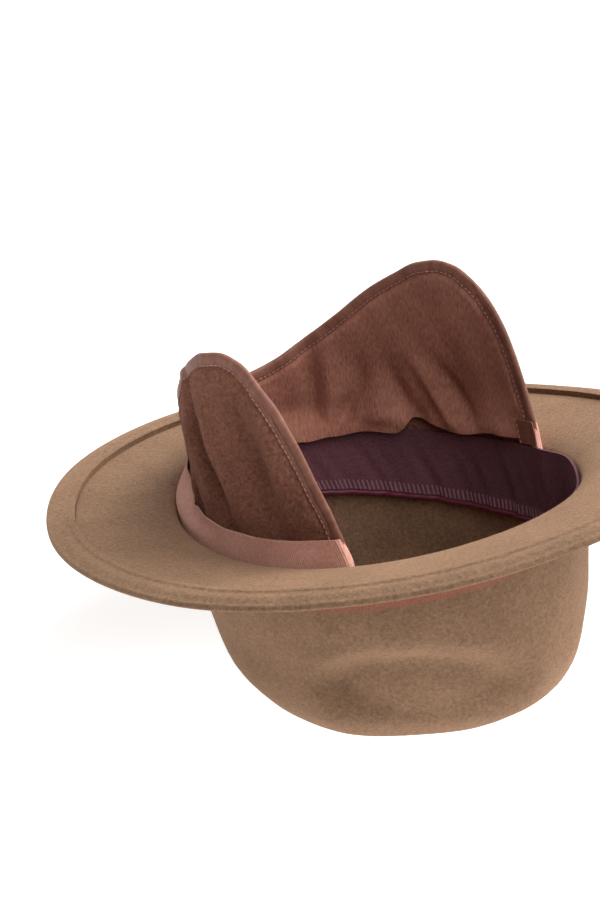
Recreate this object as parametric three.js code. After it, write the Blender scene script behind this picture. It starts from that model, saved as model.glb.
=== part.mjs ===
// A wide-brimmed wool felt hat with a fold-out earflap, lying upside down on its crown.
// Millimetres, +Z up. The sub-parts are shaped in the hat's own frame: its origin is the centre
// of the head opening, +X is the hat's front and +Z points out of the opening. The hat group then
// tilts them until the crown's ridge lies flat on the surface, at z = 0.
// In the tables, angles are degrees from the front, and share is how far down the crown a row lies.
import * as THREE from 'three';

// Felt body: a head opening for size 58, a 60 mm brim and a dented teardrop crown
const FELT = 2.4;
const OPENING = { halfLength: 100, halfWidth: 88.1, saddle: 4.7 };
const BRIM = { front: 62.1, side: 59.9, back: 59.7, breakRadius: 3.3 };
const BRIM_RISE = { mean: 7.75, frontMore: 5.25, saddle: 0.5 };
const BRIM_BOW = { mean: 0.9, frontMore: 2.1, saddle: -1.1 };
const WELT = { width: 12.7, step: 2.0, lip: 0.6 };
const CROWN_HEIGHT = 97.2;
const HAT_TILT = 9.0;
const OPENING_CENTRE_X = 0.8;
const CROWN_SECTIONS = [
  { share: 0.0, front: 101.2, back: 101.2, half: 89.3 },
  { share: 0.1, front: 100.9, back: 99.6, half: 89.1 },
  { share: 0.3, front: 100.0, back: 93.5, half: 87.4 },
  { share: 0.6, front: 98.3, back: 89.0, half: 81.5 },
  { share: 0.82, front: 88.0, back: 81.5, half: 78.3 },
  { share: 0.94, front: 71.0, back: 67.3, half: 70.3 },
  { share: 1.0, front: 60.0, back: 51.0, half: 54.5 },
];
const FRONT_DENTS = { angle: 41, halfAngle: 34, share: 0.66, above: 0.28, below: 0.4, depth: 8 };
const TOP_DENT = { depth: 24, flatShare: 0.93, roundness: 2.5 };

// Trim of the crown, inside and out
const GAP = 0.3;
const HAT_BAND = { thick: 1.0, top: 6.5, bottom: 19.5 };
const SWEATBAND = { thick: 1.2, inset: 4.2, top: 1.0, frontWidth: 38, backWidth: 31, standoff: 1.5 };
const PIPING = { radius: 1.3 };

// Earflap: a wall standing on the back and sides of the opening, bound along its free edge
const FLAP = { thick: 2.0, inset: 2.8, rootDepth: 12 };
const BINDING = { width: 6.0, thick: 3.2 };
const RIBBON = { thick: 0.8, inset: 0.8, above: 11, below: 8, overrun: 2.5 };
const FLAP_EDGE = [
  { along: 0, height: 36 },
  { along: 31, height: 39.5 },
  { along: 53, height: 48 },
  { along: 75, height: 61 },
  { along: 93, height: 73 },
  { along: 108, height: 80.5 },
  { along: 121, height: 86 },
  { along: 132, height: 87.3 },
  { along: 143, height: 85 },
  { along: 153, height: 78 },
  { along: 162, height: 68 },
  { along: 170, height: 54.5 },
  { along: 176, height: 40 },
  { along: 181, height: 26 },
  { along: 185, height: 15 },
  { along: 187.5, height: 5 },
  { along: 188, height: -11.5 },
];
const FLAP_FOLDS = [
  { along: -98, height: 10, lean: 0, width: 24, tall: 34, push: -6.5 },
  { along: -124, height: 42, lean: 0.44, width: 7, tall: 26, push: -2.2 },
  { along: -144, height: 45, lean: 0.2, width: 9, tall: 32, push: 1.6 },
  { along: -157, height: 35, lean: 0.16, width: 7, tall: 24, push: -1.8 },
  { along: 53, height: 20, lean: 0.05, width: 9, tall: 26, push: 3.0 },
  { along: 97, height: 12, lean: 0, width: 10, tall: 12, push: -4.0 },
  { along: 112, height: 10, lean: -0.3, width: 6, tall: 10, push: 2.4 },
  { along: 129, height: 14, lean: 0.1, width: 9, tall: 14, push: -2.6 },
];

// How finely the faceted solids are cut
const AROUND = 56;
const FLAP_COLUMNS = 56;
const FLAP_ROWS = 7;
const OVAL_STEPS = 720;

const COLOURS = {
  felt_body: { color: 0x97775e, roughness: 0.95 },
  hat_band: { color: 0x8e5f4c, roughness: 0.8 },
  sweatband: { color: 0x4a2e32, roughness: 0.55 },
  sweatband_piping: { color: 0x5a1f2c, roughness: 0.4 },
  earflap_panel: { color: 0x623c30, roughness: 0.95 },
  earflap_binding: { color: 0x7b5850, roughness: 0.5 },
  hinge_ribbon: { color: 0xa2745f, roughness: 0.7 },
};

const rad = THREE.MathUtils.degToRad;
const lerp = THREE.MathUtils.lerp;
const tiltSlope = Math.tan(rad(HAT_TILT));

// Smooth reading of one column of a table between its rows, without overshoot.
function readTable(rows, key, column, at) {
  const x = rows.map((row) => row[key]);
  const y = rows.map((row) => row[column]);
  const steps = x.slice(1).map((value, i) => (y[i + 1] - y[i]) / (value - x[i]));
  const slopeAt = (i) => {
    if (i === 0) return steps[0];
    if (i === x.length - 1) return steps[i - 1];
    return steps[i - 1] * steps[i] <= 0 ? 0 : 2 / (1 / steps[i - 1] + 1 / steps[i]);
  };
  const clamped = THREE.MathUtils.clamp(at, x[0], x[x.length - 1]);
  let i = 0;
  while (i < x.length - 2 && clamped > x[i + 1]) i += 1;
  const span = x[i + 1] - x[i];
  const t = (clamped - x[i]) / span;
  const rise = (t * t * (3 - 2 * t)) * (y[i + 1] - y[i]);
  const bend = span * t * (1 - t) * ((1 - t) * slopeAt(i) - t * slopeAt(i + 1));
  return y[i] + rise + bend;
}

// The oval of the head opening, moved outwards by `out`, at `height` over its mean plane.
function ovalPoint(angle, out, height) {
  const normal = ovalNormal(angle);
  return new THREE.Vector3(
    OPENING.halfLength * Math.cos(angle) + normal.x * out,
    OPENING.halfWidth * Math.sin(angle) + normal.y * out,
    height,
  );
}

function ovalNormal(angle) {
  const x = Math.cos(angle) / OPENING.halfLength;
  const y = Math.sin(angle) / OPENING.halfWidth;
  return new THREE.Vector3(x, y, 0).normalize();
}

function openingHeight(angle) {
  return OPENING.saddle * Math.cos(2 * angle);
}

// Mid-surface of the crown wall, at a share of the way from the opening down to the ridge.
function crownPoint(angle, share) {
  const front = readTable(CROWN_SECTIONS, 'share', 'front', share);
  const back = readTable(CROWN_SECTIONS, 'share', 'back', share);
  const half = readTable(CROWN_SECTIONS, 'share', 'half', share);
  const point = new THREE.Vector3(
    (front - back) / 2 + ((front + back) / 2) * Math.cos(angle),
    half * Math.sin(angle),
    0,
  );
  const pinched = 1 - frontDent(point, share) / point.length();
  point.multiplyScalar(pinched);
  point.z = -share * (CROWN_HEIGHT - FELT / 2 + point.x * tiltSlope);
  return point;
}

// The two hollows pinched into the front of the crown, left and right of the centre.
function frontDent(point, share) {
  const angle = THREE.MathUtils.radToDeg(Math.abs(Math.atan2(point.y, point.x)));
  const reach = share < FRONT_DENTS.share ? FRONT_DENTS.above : FRONT_DENTS.below;
  const across = (angle - FRONT_DENTS.angle) / FRONT_DENTS.halfAngle;
  const down = (share - FRONT_DENTS.share) / reach;
  const inside = Math.max(0, 1 - across * across - down * down);
  return FRONT_DENTS.depth * Math.pow(inside, 1.3);
}

// Mid-surface of the crown's dented top, from the ridge (share 1) in to the centre (share 0).
function crownTopPoint(angle, share) {
  const last = CROWN_SECTIONS[CROWN_SECTIONS.length - 1];
  const centre = (last.front - last.back) / 2;
  const point = new THREE.Vector3(
    centre + share * ((last.front + last.back) / 2) * Math.cos(angle),
    share * last.half * Math.sin(angle),
    0,
  );
  const inward = Math.min(1, share / TOP_DENT.flatShare);
  const rise = TOP_DENT.depth * (1 - Math.pow(inward, TOP_DENT.roundness));
  point.z = -(CROWN_HEIGHT - FELT / 2 + point.x * tiltSlope) + rise;
  return point;
}

// Mid-surface of the turn between crown wall and brim: turn 0 is the wall, 1 the brim.
function breakPoint(angle, turn) {
  const radius = BRIM.breakRadius;
  const bend = rad(lerp(180, 104, turn));
  const out = FELT / 2 + radius * (1 + Math.cos(bend));
  const height = openingHeight(angle) - FELT / 2 - radius * (1 - Math.sin(bend));
  return ovalPoint(angle, out, height);
}

function brimWidth(angle) {
  const c = Math.cos(angle);
  return lerp(BRIM.side, c > 0 ? BRIM.front : BRIM.back, c * c);
}

// Mid-surface of the brim, at a share of its width out from the opening.
function brimPoint(angle, share) {
  const c = Math.cos(angle);
  const c2 = Math.cos(2 * angle);
  const rise = BRIM_RISE.mean + BRIM_RISE.frontMore * c + BRIM_RISE.saddle * c2;
  const bow = BRIM_BOW.mean + BRIM_BOW.frontMore * c + BRIM_BOW.saddle * c2;
  const height = openingHeight(angle) + rise * share + 4 * bow * share * (1 - share);
  return ovalPoint(angle, brimWidth(angle) * share, height - FELT / 2);
}

// A ring of points around the hat, each made by `pointAt(angle)`.
function ring(pointAt, count = AROUND) {
  return Array.from({ length: count }, (_, i) => pointAt((2 * Math.PI * i) / count));
}

// Unit normals of a stack of rings, on the side of the felt that faces the head.
function gridNormals(rings) {
  return rings.map((points, k) => points.map((_, i) => {
    const before = rings[Math.max(0, k - 1)];
    const after = rings[Math.min(rings.length - 1, k + 1)];
    const along = after[i].clone().sub(before[i]);
    const count = points.length;
    const around = points[(i + 1) % count].clone().sub(points[(i + count - 1) % count]);
    return around.cross(along).normalize().negate();
  }));
}

// A solid from a stack of closed rings; each end is a centre point, or null for a closed loop.
function ringSolid(rings, firstPole, lastPole) {
  const count = rings[0].length;
  const positions = rings.flat().flatMap((p) => [p.x, p.y, p.z]);
  const index = [];
  const link = (a, b) => {
    for (let i = 0; i < count; i += 1) {
      const j = (i + 1) % count;
      index.push(a + i, a + j, b + i, a + j, b + j, b + i);
    }
  };
  for (let k = 0; k + 1 < rings.length; k += 1) link(k * count, (k + 1) * count);
  if (firstPole === null) {
    link((rings.length - 1) * count, 0);
  } else {
    const first = positions.length / 3;
    positions.push(...firstPole.toArray(), ...lastPole.toArray());
    const end = (rings.length - 1) * count;
    for (let i = 0; i < count; i += 1) {
      const j = (i + 1) % count;
      index.push(first, j, i, first + 1, end + i, end + j);
    }
  }
  return outwardGeometry(positions, index);
}

// A solid between two facing grids of points, [column][row], closed along all four rims.
function slabSolid(front, back) {
  const columns = front.length;
  const rows = front[0].length;
  const positions = [...front, ...back].flat().flatMap((p) => [p.x, p.y, p.z]);
  const near = (c, r) => c * rows + r;
  const far = (c, r) => (columns + c) * rows + r;
  const index = [];
  const quad = (p, q, s, t) => index.push(p, q, s, p, s, t);
  for (let c = 0; c + 1 < columns; c += 1) {
    for (let r = 0; r + 1 < rows; r += 1) {
      quad(near(c, r), near(c + 1, r), near(c + 1, r + 1), near(c, r + 1));
      quad(far(c, r + 1), far(c + 1, r + 1), far(c + 1, r), far(c, r));
    }
    quad(near(c + 1, 0), near(c, 0), far(c, 0), far(c + 1, 0));
    const top = rows - 1;
    quad(near(c, top), near(c + 1, top), far(c + 1, top), far(c, top));
  }
  const end = columns - 1;
  for (let r = 0; r + 1 < rows; r += 1) {
    quad(near(0, r), near(0, r + 1), far(0, r + 1), far(0, r));
    quad(near(end, r + 1), near(end, r), far(end, r), far(end, r + 1));
  }
  return outwardGeometry(positions, index);
}

// A geometry whose faces point out: the triangles are turned over where the volume is negative.
function outwardGeometry(positions, index) {
  const corner = (n) => new THREE.Vector3().fromArray(positions, 3 * n);
  let volume = 0;
  for (let t = 0; t < index.length; t += 3) {
    volume += corner(index[t]).dot(corner(index[t + 1]).cross(corner(index[t + 2])));
  }
  if (volume < 0) index.reverse();
  const geometry = new THREE.BufferGeometry();
  geometry.setAttribute('position', new THREE.Float32BufferAttribute(positions, 3));
  geometry.setIndex(index);
  geometry.computeVertexNormals();
  return geometry;
}

function part(name, geometry) {
  const mesh = new THREE.Mesh(geometry, new THREE.MeshStandardMaterial(COLOURS[name]));
  mesh.name = name;
  return mesh;
}

// Crown wall at a height over the opening's mean plane, and the same wall moved inwards.
function crownAt(angle, height) {
  const reach = CROWN_HEIGHT + OPENING.halfLength * Math.cos(angle) * tiltSlope;
  return crownPoint(angle, Math.max(0, -height) / reach);
}

function liningPoint(angle, height, inset) {
  const point = crownAt(angle, height);
  point.addScaledVector(ovalNormal(angle), -FELT / 2 - inset);
  point.z = height;
  return point;
}

// Felt body: crown and brim pressed from one piece, with the brim's edge folded over and sewn.
function buildFeltBody() {
  const wallDepths = [9, 15, 22];
  const wallShares = [0.97, 0.93, 0.87, 0.79, 0.7, 0.6, 0.5, 0.4, 0.32];
  const weltShare = (angle, inwards) => 1 - (WELT.width - inwards) / brimWidth(angle);
  const middle = [
    ...[0.45, 0.75, TOP_DENT.flatShare, 1].map((s) => ring((a) => crownTopPoint(a, s))),
    ...wallShares.map((s) => ring((a) => crownPoint(a, s))),
    ...wallDepths.reverse().map((d) => ring((a) => crownAt(a, openingHeight(a) - d))),
    ...[0, 0.5, 1].map((turn) => ring((a) => breakPoint(a, turn))),
    ...[0.17, 0.4, 0.62].map((s) => ring((a) => brimPoint(a, s))),
    ring((a) => brimPoint(a, weltShare(a, 0))),
    ring((a) => brimPoint(a, weltShare(a, WELT.lip))),
    ring((a) => brimPoint(a, 1)),
  ];
  const weltRings = 2;
  const ridgeRings = [2, 3];
  const normals = gridNormals(middle);
  const headSide = middle.map((points, k) => {
    const lift = FELT / 2 + (k >= middle.length - weltRings ? WELT.step : 0);
    return points.map((p, i) => p.clone().addScaledVector(normals[k][i], lift));
  });
  const outSide = middle.map((points, k) => points.map((p, i) => {
    const point = p.clone().addScaledVector(normals[k][i], -FELT / 2);
    if (ridgeRings.includes(k)) point.z = -(CROWN_HEIGHT + point.x * tiltSlope);
    return point;
  }));
  const rings = [...headSide, ...rimRings(middle, normals), ...outSide.reverse()];
  const inner = crownTopPoint(0, 0);
  const outer = inner.clone();
  inner.z += FELT / 2;
  outer.z -= FELT / 2;
  return part('felt_body', ringSolid(rings, inner, outer));
}

// The rounded fold along the brim's edge, from the head side over to the outside.
function rimRings(middle, normals) {
  const last = middle.length - 1;
  const radius = (FELT + WELT.step) / 2;
  return [50, 0, -50].map((bend) => middle[last].map((p, i) => {
    const outward = p.clone().sub(middle[last - 1][i]).normalize();
    return p.clone()
      .addScaledVector(normals[last][i], WELT.step / 2 + radius * Math.sin(rad(bend)))
      .addScaledVector(outward, radius * Math.cos(rad(bend)));
  }));
}

// A band around the crown wall from rows of { depth, inset }, listed around its section.
function wallBand(name, rows) {
  const rings = rows.map(({ depth, inset }) => ring((angle) => (
    liningPoint(angle, openingHeight(angle) - depth(angle), inset(angle))
  )));
  return part(name, ringSolid(rings, null, null));
}

function buildHatBand() {
  const inner = -(FELT + GAP);
  const outer = inner - HAT_BAND.thick;
  const middle = (HAT_BAND.top + HAT_BAND.bottom) / 2;
  const row = (depth, inset) => ({ depth: () => depth, inset: () => inset });
  return wallBand('hat_band', [
    row(HAT_BAND.top, outer), row(middle, outer), row(HAT_BAND.bottom, outer),
    row(HAT_BAND.bottom, inner), row(middle, inner), row(HAT_BAND.top, inner),
  ]);
}

function sweatbandBottom(angle) {
  return lerp(SWEATBAND.backWidth, SWEATBAND.frontWidth, (1 + Math.cos(angle)) / 2);
}

function sweatbandInset(share) {
  return SWEATBAND.inset + SWEATBAND.standoff * share * share;
}

function buildSweatband() {
  const shares = [0, 0.5, 1];
  const row = (share, thick) => ({
    depth: (angle) => lerp(SWEATBAND.top, sweatbandBottom(angle), share),
    inset: () => sweatbandInset(share) + thick,
  });
  return wallBand('sweatband', [
    ...shares.map((share) => row(share, 0)),
    ...shares.reverse().map((share) => row(share, SWEATBAND.thick)),
  ]);
}

function buildPiping() {
  const sides = 6;
  const inset = sweatbandInset(1) + SWEATBAND.thick / 2;
  const rows = Array.from({ length: sides }, (_, i) => {
    const bend = (2 * Math.PI * (i + 0.5)) / sides;
    const drop = PIPING.radius * (1 + Math.cos(bend)) + GAP;
    return {
      depth: (angle) => sweatbandBottom(angle) + drop,
      inset: () => inset + PIPING.radius * Math.sin(bend),
    };
  });
  return wallBand('sweatband_piping', rows);
}

// Angles around the oval for lengths measured along the flap from the back centre.
const flapAngles = (() => {
  const table = [{ along: 0, angle: 0 }];
  let previous = ovalPoint(Math.PI, -FLAP.inset, 0);
  for (let i = 1; i <= OVAL_STEPS; i += 1) {
    const turned = (Math.PI * i) / OVAL_STEPS;
    const point = ovalPoint(Math.PI - turned, -FLAP.inset, 0);
    table.push({ along: table[i - 1].along + point.distanceTo(previous), angle: turned });
    previous = point;
  }
  return table;
})();

function flapAngle(along) {
  const i = flapAngles.findIndex((row) => row.along >= Math.abs(along));
  const [low, high] = [flapAngles[Math.max(0, i - 1)], flapAngles[Math.max(1, i)]];
  const t = (Math.abs(along) - low.along) / (high.along - low.along);
  return Math.sign(along || 1) * (Math.PI - lerp(low.angle, high.angle, t));
}

// How far the soft wall of the flap is pushed out of its plain oval by its folds.
function flapPush(along, height) {
  const rise = THREE.MathUtils.smoothstep(height - openingHeight(flapAngle(along)), 0, 9);
  const total = FLAP_FOLDS.reduce((sum, fold) => {
    const across = (along - fold.along - fold.lean * (height - fold.height)) / fold.width;
    const up = (height - fold.height) / fold.tall;
    return sum + fold.push * Math.exp(-across * across - up * up);
  }, 0);
  return rise * total;
}

function flapPoint(along, height, inset, push = flapPush(along, height)) {
  return liningPoint(flapAngle(along), height, inset - push);
}

// The flap's free edge, drawn flat as length along the flap and height over the opening.
const flapEdge = (() => {
  const half = FLAP_EDGE.map((row) => new THREE.Vector3(row.along, row.height, 0));
  const mirrored = half.slice(1).reverse().map((p) => new THREE.Vector3(-p.x, p.y, 0));
  const curve = new THREE.CatmullRomCurve3([...mirrored, ...half], false, 'centripetal');
  const columns = 70;
  return Array.from({ length: columns + 1 }, (_, i) => {
    const tangent = curve.getTangentAt(i / columns);
    const inwards = new THREE.Vector3(tangent.y, -tangent.x, 0);
    return { point: curve.getPointAt(i / columns), inwards };
  });
})();

// Height of the flap's own cloth under its binding, read between the columns of the edge.
function clothHeight(along) {
  const line = flapEdge.map(({ point, inwards }) => (
    point.clone().addScaledVector(inwards, BINDING.width + 2 * GAP)
  ));
  const i = line.findIndex((p, k) => k > 0 && p.x >= along);
  const t = (along - line[i - 1].x) / (line[i].x - line[i - 1].x);
  return lerp(line[i - 1].y, line[i].y, t);
}

// Columns along the flap's cloth, and how far along the last of them stand.
const clothReach = FLAP_EDGE[FLAP_EDGE.length - 1].along - BINDING.width - 4 * GAP;
const clothColumns = Array.from({ length: FLAP_COLUMNS + 1 }, (_, c) => (
  lerp(-clothReach, clothReach, c / FLAP_COLUMNS)
));

function buildFlapPanel() {
  const side = (inset) => clothColumns.map((along) => {
    const level = openingHeight(flapAngle(along));
    const top = clothHeight(along);
    const foot = level + Math.min(RIBBON.above, 0.6 * (top - level));
    const upper = Array.from({ length: FLAP_ROWS }, (_, r) => lerp(foot, top, r / (FLAP_ROWS - 1)));
    const heights = [level - FLAP.rootDepth, level, (level + foot) / 2, ...upper];
    return heights.map((height) => flapPoint(along, height, inset));
  });
  const half = FLAP.thick / 2;
  return part('earflap_panel', slabSolid(side(FLAP.inset - half), side(FLAP.inset + half)));
}

function buildBinding() {
  const side = (sign) => flapEdge.map(({ point, inwards }) => (
    [BINDING.width, BINDING.width / 2, 0].map((down) => {
      const p = point.clone().addScaledVector(inwards, down);
      const clear = THREE.MathUtils.smoothstep(p.y, RIBBON.above, RIBBON.above + 8);
      const half = lerp(FLAP.thick, BINDING.thick, clear) / 2;
      return flapPoint(p.x, p.y, FLAP.inset + sign * half);
    })
  ));
  return part('earflap_binding', slabSolid(side(-1), side(1)));
}

// The grosgrain ribbon that hinges the flap, round the outside of its foot.
function buildHingeRibbon() {
  const end = FLAP_EDGE[FLAP_EDGE.length - 1].along + RIBBON.overrun;
  const side = (inset) => [-end, ...clothColumns, end].map((along) => {
    const level = openingHeight(flapAngle(along));
    return [-RIBBON.below, 0, RIBBON.above / 2, RIBBON.above].map((up) => {
      const push = Math.max(0, flapPush(along, level + up));
      return flapPoint(along, level + up, inset, push);
    });
  });
  const half = RIBBON.thick / 2;
  return part('hinge_ribbon', slabSolid(side(RIBBON.inset - half), side(RIBBON.inset + half)));
}

const hat = new THREE.Group();
hat.rotation.y = -rad(HAT_TILT);
hat.position.set(OPENING_CENTRE_X, 0, CROWN_HEIGHT * Math.cos(rad(HAT_TILT)));
hat.add(
  buildFeltBody(),
  buildHatBand(),
  buildSweatband(),
  buildPiping(),
  buildFlapPanel(),
  buildBinding(),
  buildHingeRibbon(),
);

const object = new THREE.Group();
object.add(hat);
export default object;
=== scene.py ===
"""A wide-brimmed felt hat with a fold-out earflap, lying upside down on its crown.

Lengths inside the shapes are millimetres in the hat's own frame: its origin is the centre of the
head opening, +X is the hat's front and +Z points out of the opening. HatShape.place tilts them
until the crown's ridge lies on the surface, and turns them into metres.
"""
import logging
import math
from dataclasses import dataclass
from enum import Enum
from typing import Sequence

import bpy
import numpy as np
from mathutils import Matrix, Vector


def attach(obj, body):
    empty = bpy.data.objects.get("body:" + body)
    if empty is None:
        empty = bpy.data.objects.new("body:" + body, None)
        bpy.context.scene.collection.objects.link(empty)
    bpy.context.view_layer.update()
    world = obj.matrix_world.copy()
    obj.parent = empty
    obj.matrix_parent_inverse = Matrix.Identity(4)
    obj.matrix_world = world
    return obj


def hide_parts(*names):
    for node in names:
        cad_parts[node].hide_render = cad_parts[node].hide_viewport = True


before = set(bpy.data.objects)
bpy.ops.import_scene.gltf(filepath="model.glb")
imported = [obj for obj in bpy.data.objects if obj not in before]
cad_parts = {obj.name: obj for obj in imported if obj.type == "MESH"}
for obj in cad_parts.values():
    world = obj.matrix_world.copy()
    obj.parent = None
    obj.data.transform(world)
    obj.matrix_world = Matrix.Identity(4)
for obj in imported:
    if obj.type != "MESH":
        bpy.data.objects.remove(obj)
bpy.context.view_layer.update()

log = logging.getLogger("earflap_hat")
Array = np.ndarray
MM = 0.001
BODY = "root"
FULL_TURN = 2 * math.pi


@dataclass(frozen=True)
class CrownSection:
    """One level of the crown wall: its share of the way down, and its reach from the centre."""

    share: float
    front: float
    back: float
    half: float


@dataclass(frozen=True)
class Fold:
    """One soft fold of the flap: where it lies, how it leans, its size and how far it stands out."""

    along: float
    height: float
    lean: float
    width: float
    tall: float
    push: float


@dataclass(frozen=True)
class EdgeRow:
    """One point of the flap's free edge, drawn flat from the back centre."""

    along: float
    height: float


CROWN_SECTIONS = (
    CrownSection(0.0, 101.2, 101.2, 89.3),
    CrownSection(0.1, 100.9, 99.6, 89.1),
    CrownSection(0.3, 100.0, 93.5, 87.4),
    CrownSection(0.6, 98.3, 89.0, 81.5),
    CrownSection(0.82, 88.0, 81.5, 78.3),
    CrownSection(0.94, 71.0, 67.3, 70.3),
    CrownSection(1.0, 60.0, 51.0, 54.5),
)

FLAP_EDGE = (
    EdgeRow(0, 36),
    EdgeRow(31, 39.5),
    EdgeRow(53, 48),
    EdgeRow(75, 61),
    EdgeRow(93, 73),
    EdgeRow(108, 80.5),
    EdgeRow(121, 86),
    EdgeRow(132, 87.3),
    EdgeRow(143, 85),
    EdgeRow(153, 78),
    EdgeRow(162, 68),
    EdgeRow(170, 54.5),
    EdgeRow(176, 40),
    EdgeRow(181, 26),
    EdgeRow(185, 15),
    EdgeRow(187.5, 5),
    EdgeRow(188, -11.5),
)

FLAP_FOLDS = (
    Fold(-62, 42, 0.0, 40, 55, -7.0),
    Fold(-74, 12, 0.0, 30, 24, -4.5),
    Fold(-90, 72, 0.0, 26, 24, -3.0),
    Fold(-140, 95, 0.0, 38, 34, -3.5),
    Fold(-84, 11, 0.3, 5, 12, -3.4),
    Fold(-91, 14, 0.3, 4, 14, 1.8),
    Fold(-98, 12, 0.3, 4, 10, -3.0),
    Fold(-107, 46, 0.44, 5.5, 21, 3.8),
    Fold(-117, 36, 0.44, 5, 28, -7.5),
    Fold(-127, 44, 0.42, 5.5, 20, 3.8),
    Fold(-150, 38, 0.30, 6, 30, -5.6),
    Fold(-161, 46, 0.20, 5.5, 22, 3.2),
    Fold(135, 92, 0.0, 40, 38, -4.5),
    Fold(58, 18, 0.05, 4.5, 24, 6.5),
    Fold(66, 20, 0.05, 5, 20, -2.5),
    Fold(75, 9, 0.5, 4, 13, 4.5),
    Fold(82, 30, 0.0, 6, 16, 2.6),
    Fold(92, 6, 0.0, 10, 12, -5.5),
    Fold(104, 16, -0.35, 4.5, 13, 3.6),
    Fold(114, 4, -0.4, 6, 11, 5.0),
    Fold(127, 14, -0.65, 4.5, 17, -5.0),
    Fold(137, 17, -0.65, 4.5, 16, 4.2),
)
WIDE_FOLD = 20.0

# Rings of the felt: shares of the crown top out from its centre, of the wall up from the ridge and
# of the turn to the brim, then distances in from the welt's lip and from the brim's edge. They lie
# closer together where the surface turns.
TOP_RINGS = (*np.linspace(0.06, 0.88, 14), 0.91, 0.94, 0.97, 1.0)
WALL_RINGS = (0.012, 0.025, 0.04, 0.06, 0.085, *np.linspace(0.12, 0.97, 28))
BREAK_RINGS = np.linspace(0, 1, 7)
LIP_RINGS = (2.7, 1.5, 0.8, 0.3, 0.0, -0.3, -0.6, -0.9, -1.3, -1.9)
EDGE_RINGS = (9.2, 8.6, 8.0, 7.2, 6, 4.6, 3.2, 1.8, 0.8, 0)
BEYOND_WELT = 99.0

# How far a loose fibre leans at least, how far it rolls either way, in radians, and its scale.
HAIR_LEAST_LIE = 0.3
HAIR_ROLL = 0.5
HAIR_SCALES = (0.55, 1.25)

TOP_STITCH = {"Pitch": 3.1, "Length": 1.0, "Radius": 0.2}
END_STITCH = {"Pitch": 2.6, "Length": 1.9, "Radius": 0.26}


def monotone(x: Sequence[float], y: Sequence[float], at: Array) -> Array:
    """Smooth curve through the points of a table, without overshoot.

    Args:
        x: The table's places, rising.
        y: The table's values.
        at: Where to read it; outside the table the end values hold.

    Returns:
        The values at those places.
    """
    x, y = np.asarray(x, float), np.asarray(y, float)
    step = np.diff(y) / np.diff(x)
    before, after = step[:-1], step[1:]
    level = before * after <= 0
    total = np.where(level, 1.0, before + after)
    slope = np.concatenate([step[:1], np.where(level, 0.0, 2 * before * after / total), step[-1:]])
    at = np.clip(np.asarray(at, float), x[0], x[-1])
    i = np.clip(np.searchsorted(x, at, side="right") - 1, 0, len(x) - 2)
    span = x[i + 1] - x[i]
    t = (at - x[i]) / span
    rise = t * t * (3 - 2 * t) * (y[i + 1] - y[i])
    bend = span * t * (1 - t) * ((1 - t) * slope[i] - t * slope[i + 1])
    return y[i] + rise + bend


def ease(value: Array, low: float, high: float) -> Array:
    """Smooth step from 0 at low to 1 at high."""
    t = np.clip((np.asarray(value, float) - low) / (high - low), 0, 1)
    return t * t * (3 - 2 * t)


def bell(away: Array, spread: float) -> Array:
    """Smooth bump, 1 where away is 0 and near 0 beyond twice the spread."""
    return np.exp(-((away / spread) ** 2))


def unit(vectors: Array) -> Array:
    """The vectors scaled to length 1."""
    return vectors / np.maximum(np.linalg.norm(vectors, axis=-1, keepdims=True), 1e-12)


def ripple(at: Array, waves: Sequence[float], seed: int) -> Array:
    """Gentle repeatable waviness between about -1 and 1.

    Args:
        at: Places in radians or any other running measure.
        waves: How many waves per unit each term has.
        seed: Fixes the phase of each term.

    Returns:
        One value for each place.
    """
    phases = np.random.default_rng(seed).uniform(0, FULL_TURN, len(waves))
    total = sum(np.sin(w * at + p) for w, p in zip(waves, phases))
    return total / math.sqrt(len(waves))


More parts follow.
